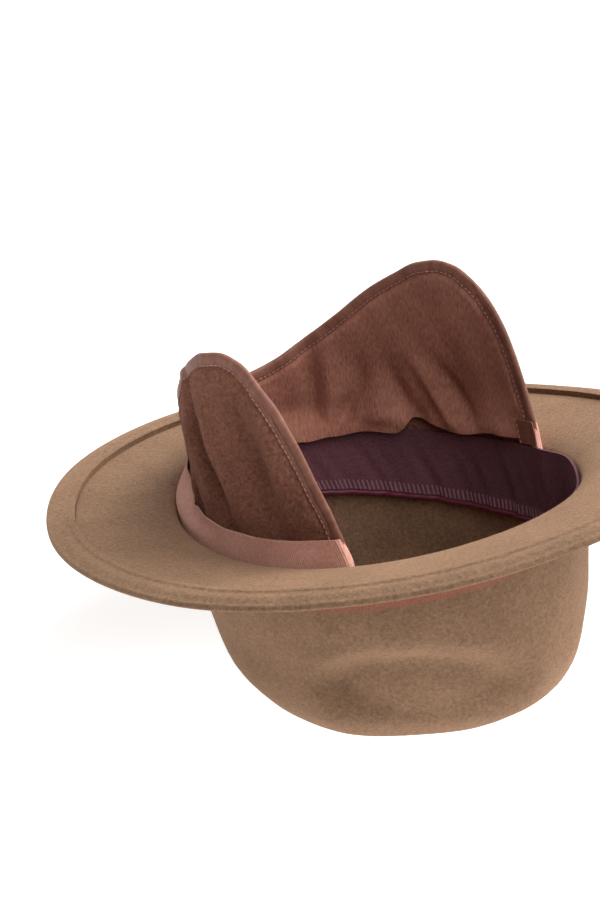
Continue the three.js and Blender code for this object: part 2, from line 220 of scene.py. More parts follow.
@dataclass(frozen=True)
class HatShape:
    """Driving sizes of the hat and the surfaces worked out from them, in millimetres."""

    felt: float = 2.4
    half_length: float = 100.0
    half_width: float = 88.1
    saddle: float = 4.7
    brim_front: float = 62.1
    brim_side: float = 59.9
    brim_back: float = 59.7
    break_radius: float = 3.3
    break_end: float = 104.0
    brim_rise: tuple[float, float, float] = (7.75, 5.25, 0.5)
    brim_bow: tuple[float, float, float] = (0.9, 2.1, -1.1)
    crown_height: float = 97.2
    tilt: float = 9.0
    centre_x: float = 0.8
    dent_angle: float = 45.0
    dent_half_angle: float = 38.0
    dent_share: float = 0.70
    dent_above: float = 0.31
    dent_below: float = 0.40
    dent_depth: float = 9.0
    far_dent_depth: float = 4.5
    dent_bank: float = 0.4
    dent_bank_below: float = 0.55
    top_dent: float = 24.0
    top_flat: float = 0.93
    top_roundness: float = 2.5

    @property
    def slope(self) -> float:
        """How fast the surface that carries the hat rises in the hat's own frame."""
        return math.tan(math.radians(self.tilt))

    def oval_normal(self, angle: Array) -> Array:
        """Outward unit normal of the opening's oval.

        Args:
            angle: Radians from the front.

        Returns:
            The normals, level with the opening.
        """
        x = np.cos(angle) / self.half_length
        y = np.sin(angle) / self.half_width
        return unit(np.stack([x, y, np.zeros_like(x)], -1))

    def oval(self, angle: Array, out: Array, height: Array) -> Array:
        """The opening's oval moved outwards, at a height over its mean plane.

        Args:
            angle: Radians from the front.
            out: How far outwards it is moved.
            height: Height over the opening's mean plane.

        Returns:
            The points in the hat's frame.
        """
        angle, out, height = np.broadcast_arrays(angle, out, height)
        base = np.stack([self.half_length * np.cos(angle), self.half_width * np.sin(angle)], -1)
        normal = self.oval_normal(angle)
        flat = base + normal[..., :2] * out[..., None]
        return np.concatenate([flat, height[..., None]], -1)

    def opening_height(self, angle: Array) -> Array:
        """Height of the opening's edge: front and back stand higher than the sides."""
        return self.saddle * np.cos(2 * np.asarray(angle))

    def dent(self, x: Array, y: Array, share: Array) -> Array:
        """Depth of the two hollows pinched into the crown's front.

        Args:
            x: Place on the wall.
            y: Place on the wall.
            share: How far down the wall.

        Returns:
            How far the wall is pushed in.
        """
        angle = np.degrees(np.arctan2(y, x))
        depth = np.where(angle < 0, self.dent_depth, self.far_dent_depth)
        reach = np.where(share < self.dent_share, self.dent_above, self.dent_below)
        across = (np.abs(angle) - self.dent_angle) / self.dent_half_angle
        down = (share - self.dent_share) / reach
        from_edge = 1 - np.sqrt(across**2 + down**2)
        bank = self.dent_bank + self.dent_bank_below * ease(down, -0.2, 0.4)
        return depth * ease(from_edge / bank, 0, 1)

    def wall(self, angle: Array, share: Array) -> Array:
        """Mid-surface of the crown wall.

        Args:
            angle: Radians from the front.
            share: Share of the way from the opening down to the ridge.

        Returns:
            The points in the hat's frame.
        """
        angle, share = np.broadcast_arrays(np.asarray(angle, float), np.asarray(share, float))
        shares = [row.share for row in CROWN_SECTIONS]
        front = monotone(shares, [row.front for row in CROWN_SECTIONS], share)
        back = monotone(shares, [row.back for row in CROWN_SECTIONS], share)
        half = monotone(shares, [row.half for row in CROWN_SECTIONS], share)
        x = (front - back) / 2 + (front + back) / 2 * np.cos(angle)
        y = half * np.sin(angle)
        pinched = 1 - self.dent(x, y, share) / np.hypot(x, y)
        x, y = x * pinched, y * pinched
        return np.stack([x, y, -share * (self.crown_height - self.felt / 2 + x * self.slope)], -1)

    def wall_share(self, angle: Array, height: Array) -> Array:
        """Share of the way down the wall at a height over the opening's mean plane."""
        reach = self.crown_height + self.half_length * np.cos(angle) * self.slope
        return np.maximum(0, -np.asarray(height)) / reach

    def lining(self, angle: Array, height: Array, inset: Array) -> Array:
        """A layer inside the crown wall, or with a negative inset outside it.

        Args:
            angle: Radians from the front.
            height: Height over the opening's mean plane.
            inset: Distance inwards from the felt's inner face.

        Returns:
            The points in the hat's frame.
        """
        angle, height, inset = np.broadcast_arrays(angle, height, inset)
        points = self.wall(angle, self.wall_share(angle, height))
        points = points - self.oval_normal(angle) * (self.felt / 2 + inset)[..., None]
        points[..., 2] = height
        return points

    def crown_top(self, angle: Array, share: Array) -> Array:
        """Mid-surface of the dented crown top, from the ridge at share 1 in to its centre.

        Args:
            angle: Radians from the front.
            share: Share of the way from the centre out to the ridge.

        Returns:
            The points in the hat's frame.
        """
        angle, share = np.broadcast_arrays(angle, share)
        last = CROWN_SECTIONS[-1]
        x = (last.front - last.back) / 2 + share * (last.front + last.back) / 2 * np.cos(angle)
        y = share * last.half * np.sin(angle)
        inward = np.minimum(1, share / self.top_flat)
        rise = self.top_dent * (1 - inward**self.top_roundness)
        return np.stack([x, y, rise - (self.crown_height - self.felt / 2 + x * self.slope)], -1)

    def brim_break(self, angle: Array, turn: Array) -> Array:
        """Mid-surface of the turn between the crown wall, at 0, and the brim, at 1.

        Args:
            angle: Radians from the front.
            turn: Share of the way round the turn.

        Returns:
            The points in the hat's frame.
        """
        bend = np.radians(180 + (self.break_end - 180) * np.asarray(turn, float))
        out = self.felt / 2 + self.break_radius * (1 + np.cos(bend))
        drop = self.felt / 2 + self.break_radius * (1 - np.sin(bend))
        return self.oval(angle, out, self.opening_height(angle) - drop)

    def brim_width(self, angle: Array) -> Array:
        """Width of the brim at each angle.

        Args:
            angle: Radians from the front.

        Returns:
            The widths in millimetres.
        """
        c = np.cos(angle)
        end = np.where(c > 0, self.brim_front, self.brim_back)
        return self.brim_side + (end - self.brim_side) * c * c

    def brim(self, angle: Array, share: Array) -> Array:
        """Mid-surface of the brim, at a share of its width out from the opening.

        Args:
            angle: Radians from the front.
            share: Share of the brim's width.

        Returns:
            The points in the hat's frame.
        """
        angle, share = np.broadcast_arrays(angle, share)
        waves = (np.ones_like(angle), np.cos(angle), np.cos(2 * angle))
        rise = sum(a * w for a, w in zip(self.brim_rise, waves))
        bow = sum(a * w for a, w in zip(self.brim_bow, waves))
        height = self.opening_height(angle) + rise * share + 4 * bow * share * (1 - share)
        return self.oval(angle, self.brim_width(angle) * share, height - self.felt / 2)

    def place(self, points: Array) -> Array:
        """Turns points of the hat's frame into metres in the part's frame.

        Args:
            points: Points in the hat's frame.

        Returns:
            The points in metres, with the crown's ridge on the surface.
        """
        c, s = math.cos(math.radians(self.tilt)), math.sin(math.radians(self.tilt))
        x, y, z = points[..., 0], points[..., 1], points[..., 2]
        lift = self.crown_height * c
        return MM * np.stack([c * x - s * z + self.centre_x, y, s * x + c * z + lift], -1)


@dataclass(frozen=True)
class FlapShape:
    """The earflap's wall: an oval inside the opening, its drawn edge and its folds."""

    hat: HatShape
    inset: float = 2.8
    binding_width: float = 6.0
    ribbon_above: float = 11.0
    ribbon_below: float = 8.0
    folds_from: float = 9.0
    waviness: float = 0.35

    @property
    def reach(self) -> float:
        """Length from the back centre to the flap's front end."""
        return FLAP_EDGE[-1].along

    def angle(self, along: Array) -> Array:
        """Angle from the front for lengths along the flap from the back centre.

        Args:
            along: Lengths along the flap, negative on the near side.

        Returns:
            Radians from the front.
        """
        turned = np.linspace(0, math.pi, 721)
        line = self.hat.oval(math.pi - turned, -self.inset, 0.0)
        steps = np.linalg.norm(np.diff(line, axis=0), axis=1)
        run = np.concatenate([[0], np.cumsum(steps)])
        along = np.asarray(along, float)
        side = np.where(along < 0, -1.0, 1.0)
        return side * (math.pi - np.interp(np.abs(along), run, turned))

    def level(self, along: Array) -> Array:
        """Height of the opening's edge beside the flap."""
        return self.hat.opening_height(self.angle(along))

    def push(self, along: Array, height: Array, least: float = 0.0) -> Array:
        """How far the folds push the wall out of its plain oval.

        Args:
            along: Length along the flap from the back centre.
            height: Height over the opening's mean plane.
            least: Folds narrower than this are left out.

        Returns:
            Millimetres, outwards.
        """
        total = np.zeros(np.broadcast(along, height).shape)
        for fold in [fold for fold in FLAP_FOLDS if fold.width >= least]:
            across = (along - fold.along - fold.lean * (height - fold.height)) / fold.width
            up = (height - fold.height) / fold.tall
            total = total + fold.push * np.exp(-(across**2) - up**2)
        soft = self.waviness * ripple(along * 0.11 + height * 0.05, (1.0, 1.7, 2.9), 5)
        return ease(height - self.level(along), 0, self.folds_from) * (total + soft)

    def point(self, along: Array, height: Array, across: Array, push: Array | None = None) -> Array:
        """A point on or beside the flap's wall.

        Args:
            along: Length along the flap from the back centre.
            height: Height over the opening's mean plane.
            across: Distance outwards from the middle of the wall.
            push: How far the folds move it, or None for the cloth's own folds.

        Returns:
            The points in the hat's frame.
        """
        moved = self.push(along, height) if push is None else push
        return self.hat.lining(self.angle(along), height, self.inset - across - moved)

    def edge(self, count: int) -> tuple[Array, Array]:
        """The free edge drawn flat, and its inward normals, at even steps.

        Args:
            count: How many points.

        Returns:
            The points as (along, height), and the unit normals towards the cloth.
        """
        half = np.array([(row.along, row.height) for row in FLAP_EDGE], float)
        rows = np.vstack([half[:0:-1] * (-1, 1), half])
        chord = np.concatenate([[0], np.cumsum(np.linalg.norm(np.diff(rows, axis=0), axis=1))])
        fine = np.linspace(0, chord[-1], 4000)
        line = np.stack([monotone(chord, rows[:, 0], fine), monotone(chord, rows[:, 1], fine)], -1)
        run = np.concatenate([[0], np.cumsum(np.linalg.norm(np.diff(line, axis=0), axis=1))])
        even = np.linspace(0, run[-1], count)
        line = np.stack([np.interp(even, run, line[:, 0]), np.interp(even, run, line[:, 1])], -1)
        tangent = unit(np.gradient(line, axis=0))
        return line, np.stack([tangent[:, 1], -tangent[:, 0]], -1)


def mesh_object(name: str, points: Array, faces: list, smooth_angle: float = 50.0) -> bpy.types.Object:
    """A new mesh object with its place in its mesh.

    Args:
        name: The piece's name.
        points: Vertices in metres in the part's frame.
        faces: Vertex numbers of each face.
        smooth_angle: Edges sharper than this many degrees stay crisp.

    Returns:
        The object, linked into the scene, with its faces pointing out.
    """
    mesh = bpy.data.meshes.new(name)
    mesh.from_pydata(points.reshape(-1, 3).tolist(), [], faces)
    mesh.update()
    if signed_volume(mesh) < 0:
        mesh.flip_normals()
    mesh.polygons.foreach_set("use_smooth", np.ones(len(mesh.polygons), bool))
    mesh.set_sharp_from_angle(angle=math.radians(smooth_angle))
    piece = bpy.data.objects.new(name, mesh)
    bpy.context.scene.collection.objects.link(piece)
    return piece


def signed_volume(mesh: bpy.types.Mesh) -> float:
    """Volume of a closed mesh, negative where its faces point in.

    Args:
        mesh: The mesh.

    Returns:
        The volume in cubic metres.
    """
    mesh.calc_loop_triangles()
    corners = np.empty(len(mesh.loop_triangles) * 3, np.int32)
    mesh.loop_triangles.foreach_get("vertices", corners)
    places = np.empty(len(mesh.vertices) * 3)
    mesh.vertices.foreach_get("co", places)
    a, b, c = places.reshape(-1, 3)[corners.reshape(-1, 3)].transpose(1, 0, 2)
    return float((a * np.cross(b, c)).sum() / 6)


def ring_faces(rings: int, around: int, closed: bool) -> list:
    """Faces of a stack of closed rings, with a pole at each end unless it closes on itself.

    Args:
        rings: How many rings.
        around: Points in each ring.
        closed: Whether the last ring joins the first; if not, two poles follow the rings.

    Returns:
        The vertex numbers of each face.
    """
    i = np.arange(around)
    j = (i + 1) % around
    faces = []
    for k in range(rings if closed else rings - 1):
        a, b = k * around, ((k + 1) % rings) * around
        faces += np.stack([a + i, a + j, b + j, b + i], -1).tolist()
    if not closed:
        first, end = rings * around, (rings - 1) * around
        faces += np.stack([np.full(around, first), j, i], -1).tolist()
        faces += np.stack([np.full(around, first + 1), end + i, end + j], -1).tolist()
    return faces


def slab_faces(columns: int, rows: int) -> list:
    """Faces of a solid between two facing grids of points, closed along its four rims.

    Args:
        columns: Columns of each grid.
        rows: Rows of each grid.

    Returns:
        The vertex numbers of each face.
    """
    near = np.arange(columns * rows).reshape(columns, rows)
    far = near + columns * rows

    def quads(a: Array, b: Array, c: Array, d: Array) -> list:
        """Faces from four equal arrays of corners."""
        return np.stack([a.ravel(), b.ravel(), c.ravel(), d.ravel()], -1).tolist()

    return (
        quads(near[:-1, :-1], near[1:, :-1], near[1:, 1:], near[:-1, 1:])
        + quads(far[:-1, 1:], far[1:, 1:], far[1:, :-1], far[:-1, :-1])
        + quads(near[1:, 0], near[:-1, 0], far[:-1, 0], far[1:, 0])
        + quads(near[:-1, -1], near[1:, -1], far[1:, -1], far[:-1, -1])
        + quads(near[0, :-1], near[0, 1:], far[0, 1:], far[0, :-1])
        + quads(near[-1, 1:], near[-1, :-1], far[-1, :-1], far[-1, 1:])
    )


def sweep_faces(columns: int, around: int) -> list:
    """Faces of a closed section carried along a path, with both ends capped.

    Args:
        columns: How many sections lie along the path.
        around: Points in each section.

    Returns:
        The vertex numbers of each face.
    """
    i = np.arange(around)
    j = (i + 1) % around
    faces = []
    for k in range(columns - 1):
        a, b = k * around, (k + 1) * around
        faces += np.stack([a + i, a + j, b + j, b + i], -1).tolist()
    end = (columns - 1) * around
    return faces + [i[::-1].tolist(), (end + i).tolist()]


def line_object(name: str, points: Array, cyclic: bool = False) -> bpy.types.Object:
    """A bare line of edges for a node tree to follow, from points in metres.

    Args:
        name: The line's name.
        points: Its points in order.
        cyclic: Whether its end joins its start.

    Returns:
        The line, linked into the scene.
    """
    count = len(points)
    edges = [(i, i + 1) for i in range(count - 1)] + ([(count - 1, 0)] if cyclic else [])
    mesh = bpy.data.meshes.new(name)
    mesh.from_pydata(points.tolist(), edges, [])
    line = bpy.data.objects.new(name, mesh)
    bpy.context.scene.collection.objects.link(line)
    return line


def store(piece: bpy.types.Object, name: str, values: Array) -> None:
    """Keeps one number for each vertex of a piece, for node trees and materials to read."""
    attribute = piece.data.attributes.new(name, "FLOAT", "POINT")
    attribute.data.foreach_set("value", np.asarray(values, np.float32).ravel())


def grid_area(grid: Array) -> float:
    """Area of a grid of points in metres, in square metres.

    Args:
        grid: The points, columns by rows.

    Returns:
        The area.
    """
    a, b, c, d = grid[:-1, :-1], grid[1:, :-1], grid[1:, 1:], grid[:-1, 1:]
    halves = (np.cross(b - a, c - a), np.cross(c - a, d - a))
    return float(sum(np.linalg.norm(h, axis=-1).sum() for h in halves) / 2)


class Nodes:
    """A node tree built in steps."""

    def __init__(self, tree: bpy.types.NodeTree) -> None:
        """Keeps the tree that the nodes go into."""
        self.nodes = tree.nodes
        self.links = tree.links

    def add(self, kind: str, links: dict | None = None, **settings: object) -> bpy.types.Node:
        """Adds a node.

        Args:
            kind: The node's type.
            links: Sockets or values for its inputs, by name or number.
            settings: Properties of the node.

        Returns:
            The node.
        """
        node = self.nodes.new(kind)
        for key, value in settings.items():
            setattr(node, key, value)
        for key, value in (links or {}).items():
            if isinstance(value, bpy.types.NodeSocket):
                self.links.new(value, node.inputs[key])
            else:
                node.inputs[key].default_value = value
        return node


class Tree(Nodes):
    """A geometry node tree with named inputs."""

    def __init__(self, name: str) -> None:
        """Starts a tree that takes a geometry and gives one back.

        Args:
            name: The tree's name.
        """
        self.group = bpy.data.node_groups.new(name, "GeometryNodeTree")
        super().__init__(self.group)
        self.sockets: dict[str, str] = {}
        self._socket("Geometry", "NodeSocketGeometry", "INPUT")
        self.group.interface.new_socket("Geometry", in_out="OUTPUT", socket_type="NodeSocketGeometry")
        self.start = self.add("NodeGroupInput")
        self.end = self.add("NodeGroupOutput")

    def _socket(self, name: str, kind: str, side: str) -> None:
        """Adds a named input and remembers its identifier."""
        made = self.group.interface.new_socket(name, in_out=side, socket_type=kind)
        self.sockets[name] = made.identifier

    def take(self, name: str, kind: str = "NodeSocketFloat") -> bpy.types.NodeSocket:
        """Adds a named input.

        Args:
            name: The input's name.
            kind: Its socket type.

        Returns:
            The socket that gives its value inside the tree.
        """
        self._socket(name, kind, "INPUT")
        return next(s for s in self.start.outputs if s.name == name)

    def finish(self, geometry: bpy.types.NodeSocket) -> None:
        """Ends the tree in smooth shading, Realize Instances and Set Material.

        Args:
            geometry: The socket that gives what the tree has made.
        """
        material = self.take("Material", "NodeSocketMaterial")
        real = self.add("GeometryNodeRealizeInstances", {0: geometry})
        smooth = self.add("GeometryNodeSetShadeSmooth", {0: real.outputs[0]})
        painted = self.add("GeometryNodeSetMaterial", {"Geometry": smooth.outputs[0], "Material": material})
        self.links.new(painted.outputs[0], self.end.inputs[0])

    def grow(
        self, name: str, source: bpy.types.Object, keep: bool = False, **values: object
    ) -> bpy.types.Object:
        """Runs the tree on an object and keeps the result as a plain mesh.

        Args:
            name: The new piece's name.
            source: The object that the tree starts from.
            keep: Whether the source stays in the scene.
            values: The tree's inputs, with underscores for spaces.

        Returns:
            The finished piece.
        """
        modifier = source.modifiers.new("tree", "NODES")
        modifier.node_group = self.group
        for key, value in values.items():
            modifier[self.sockets[key.replace("_", " ")]] = value
        bpy.context.view_layer.update()
        graph = bpy.context.evaluated_depsgraph_get()
        mesh = bpy.data.meshes.new_from_object(source.evaluated_get(graph), depsgraph=graph)
        source.modifiers.remove(modifier)
        mesh.name = name
        piece = bpy.data.objects.new(name, mesh)
        bpy.context.scene.collection.objects.link(piece)
        if not keep:
            bpy.data.objects.remove(source)
        return piece


def stitch_tree() -> Tree:
    """Rounded stitches laid end to end along a line.

    Returns:
        The tree.
    """
    tree = Tree("stitch_row")
    pitch, length, radius = tree.take("Pitch"), tree.take("Length"), tree.take("Radius")
    path = tree.add("GeometryNodeMeshToCurve", {"Mesh": tree.start.outputs[0]})
    spaced = tree.add(
        "GeometryNodeResampleCurve", {"Curve": path.outputs[0], "Length": pitch}, mode="LENGTH"
    )
    grain = tree.add("GeometryNodeMeshUVSphere", {"Segments": 8, "Rings": 6, "Radius": 1.0})
    tangent = tree.add("GeometryNodeInputTangent")
    turn = tree.add(
        "FunctionNodeAlignRotationToVector", {"Vector": tangent.outputs[0]}, axis="Z"
    )
    half = tree.add("ShaderNodeMath", {0: length, 1: 0.5}, operation="MULTIPLY")
    size = tree.add("ShaderNodeCombineXYZ", {0: radius, 1: radius, 2: half.outputs[0]})
    rows = tree.add(
        "GeometryNodeInstanceOnPoints",
        {
            "Points": spaced.outputs[0],
            "Instance": grain.outputs[0],
            "Rotation": turn.outputs[0],
            "Scale": size.outputs[0],
        },
    )
    tree.finish(rows.outputs[0])
    return tree


def cord_tree() -> Tree:
    """A round cord swept along a line.

    Returns:
        The tree.
    """
    tree = Tree("cord_sweep")
    radius, step = tree.take("Radius"), tree.take("Step")
    path = tree.add("GeometryNodeMeshToCurve", {"Mesh": tree.start.outputs[0]})
    spaced = tree.add(
        "GeometryNodeResampleCurve", {"Curve": path.outputs[0], "Length": step}, mode="LENGTH"
    )
    ring = tree.add("GeometryNodeCurvePrimitiveCircle", {"Resolution": 10, "Radius": radius})
    tube = tree.add(
        "GeometryNodeCurveToMesh",
        {"Curve": spaced.outputs[0], "Profile Curve": ring.outputs[0], "Fill Caps": True},
    )
    tree.finish(tube.outputs[0])
    return tree


def rib_tree() -> Tree:
    """Fine ribs across a ribbon, raised along its length from the "run" attribute.

    Returns:
        The tree.
    """
    tree = Tree("ribbon_ribs")
    pitch, height = tree.take("Pitch"), tree.take("Height")
    run = tree.add("GeometryNodeInputNamedAttribute", {"Name": "run"}, data_type="FLOAT")
    turns = tree.add("ShaderNodeMath", {0: run.outputs[0], 1: pitch}, operation="DIVIDE")
    angle = tree.add("ShaderNodeMath", {0: turns.outputs[0], 1: FULL_TURN}, operation="MULTIPLY")
    wave = tree.add("ShaderNodeMath", {0: angle.outputs[0]}, operation="SINE")
    lift = tree.add("ShaderNodeMath", {0: wave.outputs[0], 1: height}, operation="MULTIPLY")
    normal = tree.add("GeometryNodeInputNormal")
    offset = tree.add(
        "ShaderNodeVectorMath", {0: normal.outputs[0], "Scale": lift.outputs[0]}, operation="SCALE"
    )
    moved = tree.add(
        "GeometryNodeSetPosition", {"Geometry": tree.start.outputs[0], "Offset": offset.outputs[0]}
    )
    tree.finish(moved.outputs[0])
    return tree


def fibre_tree() -> Tree:
    """Short loose fibres scattered over a cloth and laid down at random.

    Returns:
        The tree.
    """
    tree = Tree("loose_fibres")
    density, lie = tree.take("Density"), tree.take("Lie")
    hair, seed = tree.take("Hair", "NodeSocketObject"), tree.take("Seed", "NodeSocketInt")
    lowest = tree.take("Lowest")
    height = tree.add("ShaderNodeSeparateXYZ", {0: tree.add("GeometryNodeInputPosition").outputs[0]})
    clear = tree.add("FunctionNodeCompare", {0: height.outputs[2], 1: lowest}, operation="GREATER_THAN")
    spots = tree.add(
        "GeometryNodeDistributePointsOnFaces",
        {
            "Mesh": tree.start.outputs[0],
            "Selection": clear.outputs[0],
            "Density": density,
            "Seed": seed,
        },
    )
    look = tree.add("GeometryNodeObjectInfo", {"Object": hair})
    low = tree.add("ShaderNodeCombineXYZ", {0: HAIR_LEAST_LIE, 1: -HAIR_ROLL, 2: 0.0})
    high = tree.add("ShaderNodeCombineXYZ", {0: lie, 1: HAIR_ROLL, 2: FULL_TURN})
    spin = tree.add(
        "FunctionNodeRandomValue",
        {"Min": low.outputs[0], "Max": high.outputs[0], "Seed": seed},
        data_type="FLOAT_VECTOR",
    )
    turn = tree.add("FunctionNodeEulerToRotation", {0: spin.outputs[0]})
    facing = tree.add(
        "FunctionNodeRotateRotation",
        {0: spots.outputs["Rotation"], 1: turn.outputs[0]},
        rotation_space="LOCAL",
    )
    least, most = HAIR_SCALES
    size = tree.add("FunctionNodeRandomValue", {2: least, 3: most, "Seed": seed}, data_type="FLOAT")
    hairs = tree.add(
        "GeometryNodeInstanceOnPoints",
        {
            "Points": spots.outputs[0],
            "Instance": look.outputs["Geometry"],
            "Rotation": facing.outputs[0],
            "Scale": size.outputs[1],
        },
    )
    tree.finish(hairs.outputs[0])
    return tree


class Weave(Enum):
    """How a cloth is made, which sets the pattern of its surface."""

    FELTED = "felted"
    FLEECE = "fleece"
    BRUSHED = "brushed"
    SATIN = "satin"
    RIBBED = "ribbed"
    PLAIN = "plain"
    THREAD = "thread"


GRAIN_PER_METRE = {Weave.FELTED: 640.0, Weave.FLEECE: 620.0}
THREAD_PITCH = {Weave.RIBBED: 0.0010, Weave.PLAIN: 0.0006}


class Paint(Nodes):
    """A material's node tree."""

    def __init__(self, name: str) -> None:
        """Starts a material with its shader.

        Args:
            name: The material's name.
        """
        self.material = bpy.data.materials.new(name)
        self.material.use_nodes = True
        super().__init__(self.material.node_tree)
        self.shader = next(n for n in self.nodes if n.type == "BSDF_PRINCIPLED")

    def math(self, how: str, a: object, b: object = 0.0) -> bpy.types.NodeSocket:
        """One sum on two sockets or numbers."""
        return self.add("ShaderNodeMath", {0: a, 1: b}, operation=how).outputs[0]

    def place(
        self, scale: tuple[float, float, float] = (1, 1, 1), cloth: bool = False
    ) -> bpy.types.NodeSocket:
        """Where a pattern is read.

        Args:
            scale: How much the place is scaled along each way.
            cloth: Whether it follows the cloth's own length and width.

        Returns:
            The place, in metres before the scale.
        """
        if cloth:
            run = self.add("ShaderNodeAttribute", attribute_name="run").outputs["Fac"]
            rise = self.add("ShaderNodeAttribute", attribute_name="rise").outputs["Fac"]
            where = self.add("ShaderNodeCombineXYZ", {0: run, 1: rise}).outputs[0]
        else:
            where = self.add("ShaderNodeTexCoord").outputs["Object"]
        return self.add("ShaderNodeMapping", {"Vector": where, "Scale": scale}).outputs[0]

    def noise(
        self, where: bpy.types.NodeSocket, scale: float, detail: float = 4.0, bend: float = 0.0
    ) -> bpy.types.NodeSocket:
        """Cloudy noise between 0 and 1 at a scale per metre."""
        links = {"Vector": where, "Scale": scale, "Detail": detail, "Roughness": 0.6, "Distortion": bend}
        return self.add("ShaderNodeTexNoise", links).outputs[0]

    def spread(self, value: bpy.types.NodeSocket, low: float, high: float) -> bpy.types.NodeSocket:
        """The value stretched so that low becomes 0 and high becomes 1."""
        links = {"Value": value, "From Min": low, "From Max": high}
        return self.add("ShaderNodeMapRange", links).outputs[0]

    def hairs(
        self, where: bpy.types.NodeSocket, scale: float, thin: float, bend: float
    ) -> bpy.types.NodeSocket:
        """Thin wandering lines, 1 on a line and 0 off it.

        Args:
            where: The place at which they are read.
            scale: How fine they are, per metre.
            thin: How thin they are; less is thinner.
            bend: How much they wander.

        Returns:
            The lines' value.
        """
        cloud = self.noise(where, scale, 2.0, bend)
        away = self.math("ABSOLUTE", self.math("SUBTRACT", cloud, 0.5))
        return self.spread(away, thin, 0.0)


def linear(colour: str) -> tuple[float, float, float, float]:
    """A colour written as six hex digits, as the shader reads it."""
    parts = [int(colour[i : i + 2], 16) / 255 for i in (0, 2, 4)]
    return tuple(p / 12.92 if p < 0.04 else ((p + 0.055) / 1.055) ** 2.4 for p in parts) + (1.0,)


@dataclass(frozen=True)
class ClothFinish:
    """One cloth's colours and surface."""

    name: str
    weave: Weave
    dark: str
    light: str
    rough: float = 0.9
    sheen: float = 0.3
    sheen_rough: float = 0.5
    relief: float = 0.00025
    blotch: float = 0.3

    def material(self) -> bpy.types.Material:
        """The finished material.

        Returns:
            The material, with this cloth's pattern, colours and sheen.
        """
        paint = Paint(self.name)
        tone, height = self._pattern(paint)
        clouds = paint.spread(paint.noise(paint.place(), 38.0, 3.0), 0.3, 0.7)
        mixed = paint.math("MULTIPLY", clouds, self.blotch)
        tone = paint.math("MULTIPLY", tone, 1 - self.blotch)
        tone = paint.math("ADD", tone, mixed)
        colour = self._blend(paint, tone)
        bump = paint.add(
            "ShaderNodeBump", {"Height": height, "Strength": 1.0, "Distance": self.relief}
        )
        paint.links.new(colour, paint.shader.inputs["Base Color"])
        paint.links.new(bump.outputs[0], paint.shader.inputs["Normal"])
        paint.shader.inputs["Roughness"].default_value = self.rough
        paint.shader.inputs["Specular IOR Level"].default_value = 0.25
        paint.shader.inputs["Sheen Weight"].default_value = self.sheen
        paint.shader.inputs["Sheen Roughness"].default_value = self.sheen_rough
        paint.shader.inputs["Sheen Tint"].default_value = linear(self.light)
        return paint.material

    def _blend(self, paint: Paint, tone: bpy.types.NodeSocket) -> bpy.types.NodeSocket:
        """The colour between the dark and the light one.

        Args:
            paint: The material being made.
            tone: How light the cloth is, from 0 to 1.

        Returns:
            The colour's socket.
        """
        ramp = paint.add("ShaderNodeValToRGB", {0: tone})
        ramp.color_ramp.elements[0].color = linear(self.dark)
        ramp.color_ramp.elements[1].color = linear(self.light)
        return ramp.outputs[0]

    def _pattern(self, paint: Paint) -> tuple[bpy.types.NodeSocket, bpy.types.NodeSocket]:
        """The cloth's tone from dark to light, and its relief.

        Args:
            paint: The material being made.

        Returns:
            The sockets of the tone and the relief.
        """
        if self.weave in GRAIN_PER_METRE:
            coarse = GRAIN_PER_METRE[self.weave]
            grain = paint.spread(paint.noise(paint.place(), coarse, 5.0, 0.6), 0.28, 0.72)
            wisps = paint.hairs(paint.place(), coarse * 0.8, 0.035, 2.5)
            grain = paint.math("MULTIPLY", grain, 0.7)
            tone = paint.math("ADD", grain, paint.math("MULTIPLY", wisps, 0.3))
            return tone, tone
        if self.weave is Weave.BRUSHED:
            nap = paint.noise(paint.place((1.0, 0.35, 1.0), cloth=True), 900.0, 4.0, 0.4)
            tone = paint.spread(nap, 0.25, 0.75)
            return tone, tone
        if self.weave is Weave.SATIN:
            # Painted shine: lighter streaks along the satin's floats are painted into the colour, and
            # lighter and darker patches follow the puckers' relief.
            floats = paint.noise(paint.place((0.25, 1.0, 1.0), cloth=True), 2400.0, 3.0)
            puckers = paint.noise(paint.place((1.0, 0.3, 1.0), cloth=True), 240.0, 2.0)
            shine = paint.math("MULTIPLY", floats, 0.5)
            tone = paint.math("ADD", shine, paint.math("MULTIPLY", puckers, 0.5))
            return paint.spread(tone, 0.3, 0.7), paint.spread(puckers, 0.2, 0.8)
        if self.weave in THREAD_PITCH:
            turns = FULL_TURN / THREAD_PITCH[self.weave]
            run = paint.add("ShaderNodeSeparateXYZ", {0: paint.place(cloth=True)})
            warp = paint.math("SINE", paint.math("MULTIPLY", run.outputs[0], turns))
            weft = paint.math("SINE", paint.math("MULTIPLY", run.outputs[1], turns))
            threads = warp if self.weave is Weave.RIBBED else paint.math("MULTIPLY", warp, weft)
            cloud = paint.noise(paint.place(cloth=True), 700.0, 4.0)
            tone = paint.math("ADD", paint.math("MULTIPLY", threads, 0.12), cloud)
            return paint.spread(tone, 0.2, 0.8), paint.spread(tone, 0.0, 1.0)
        twist = paint.noise(paint.place(), 2600.0, 3.0, 0.5)
        return paint.spread(twist, 0.3, 0.7), twist


def dress(piece: bpy.types.Object, finish: ClothFinish) -> None:
    """Gives a piece its finish and the body that it rides on.

    Args:
        piece: The piece.
        finish: Its finish.
    """
    if not piece.data.materials or piece.data.materials[0] is None:
        piece.data.materials.clear()
        piece.data.materials.append(finish.material())
    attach(piece, BODY)
    log.info("%s: %d faces", piece.name, len(piece.data.polygons))


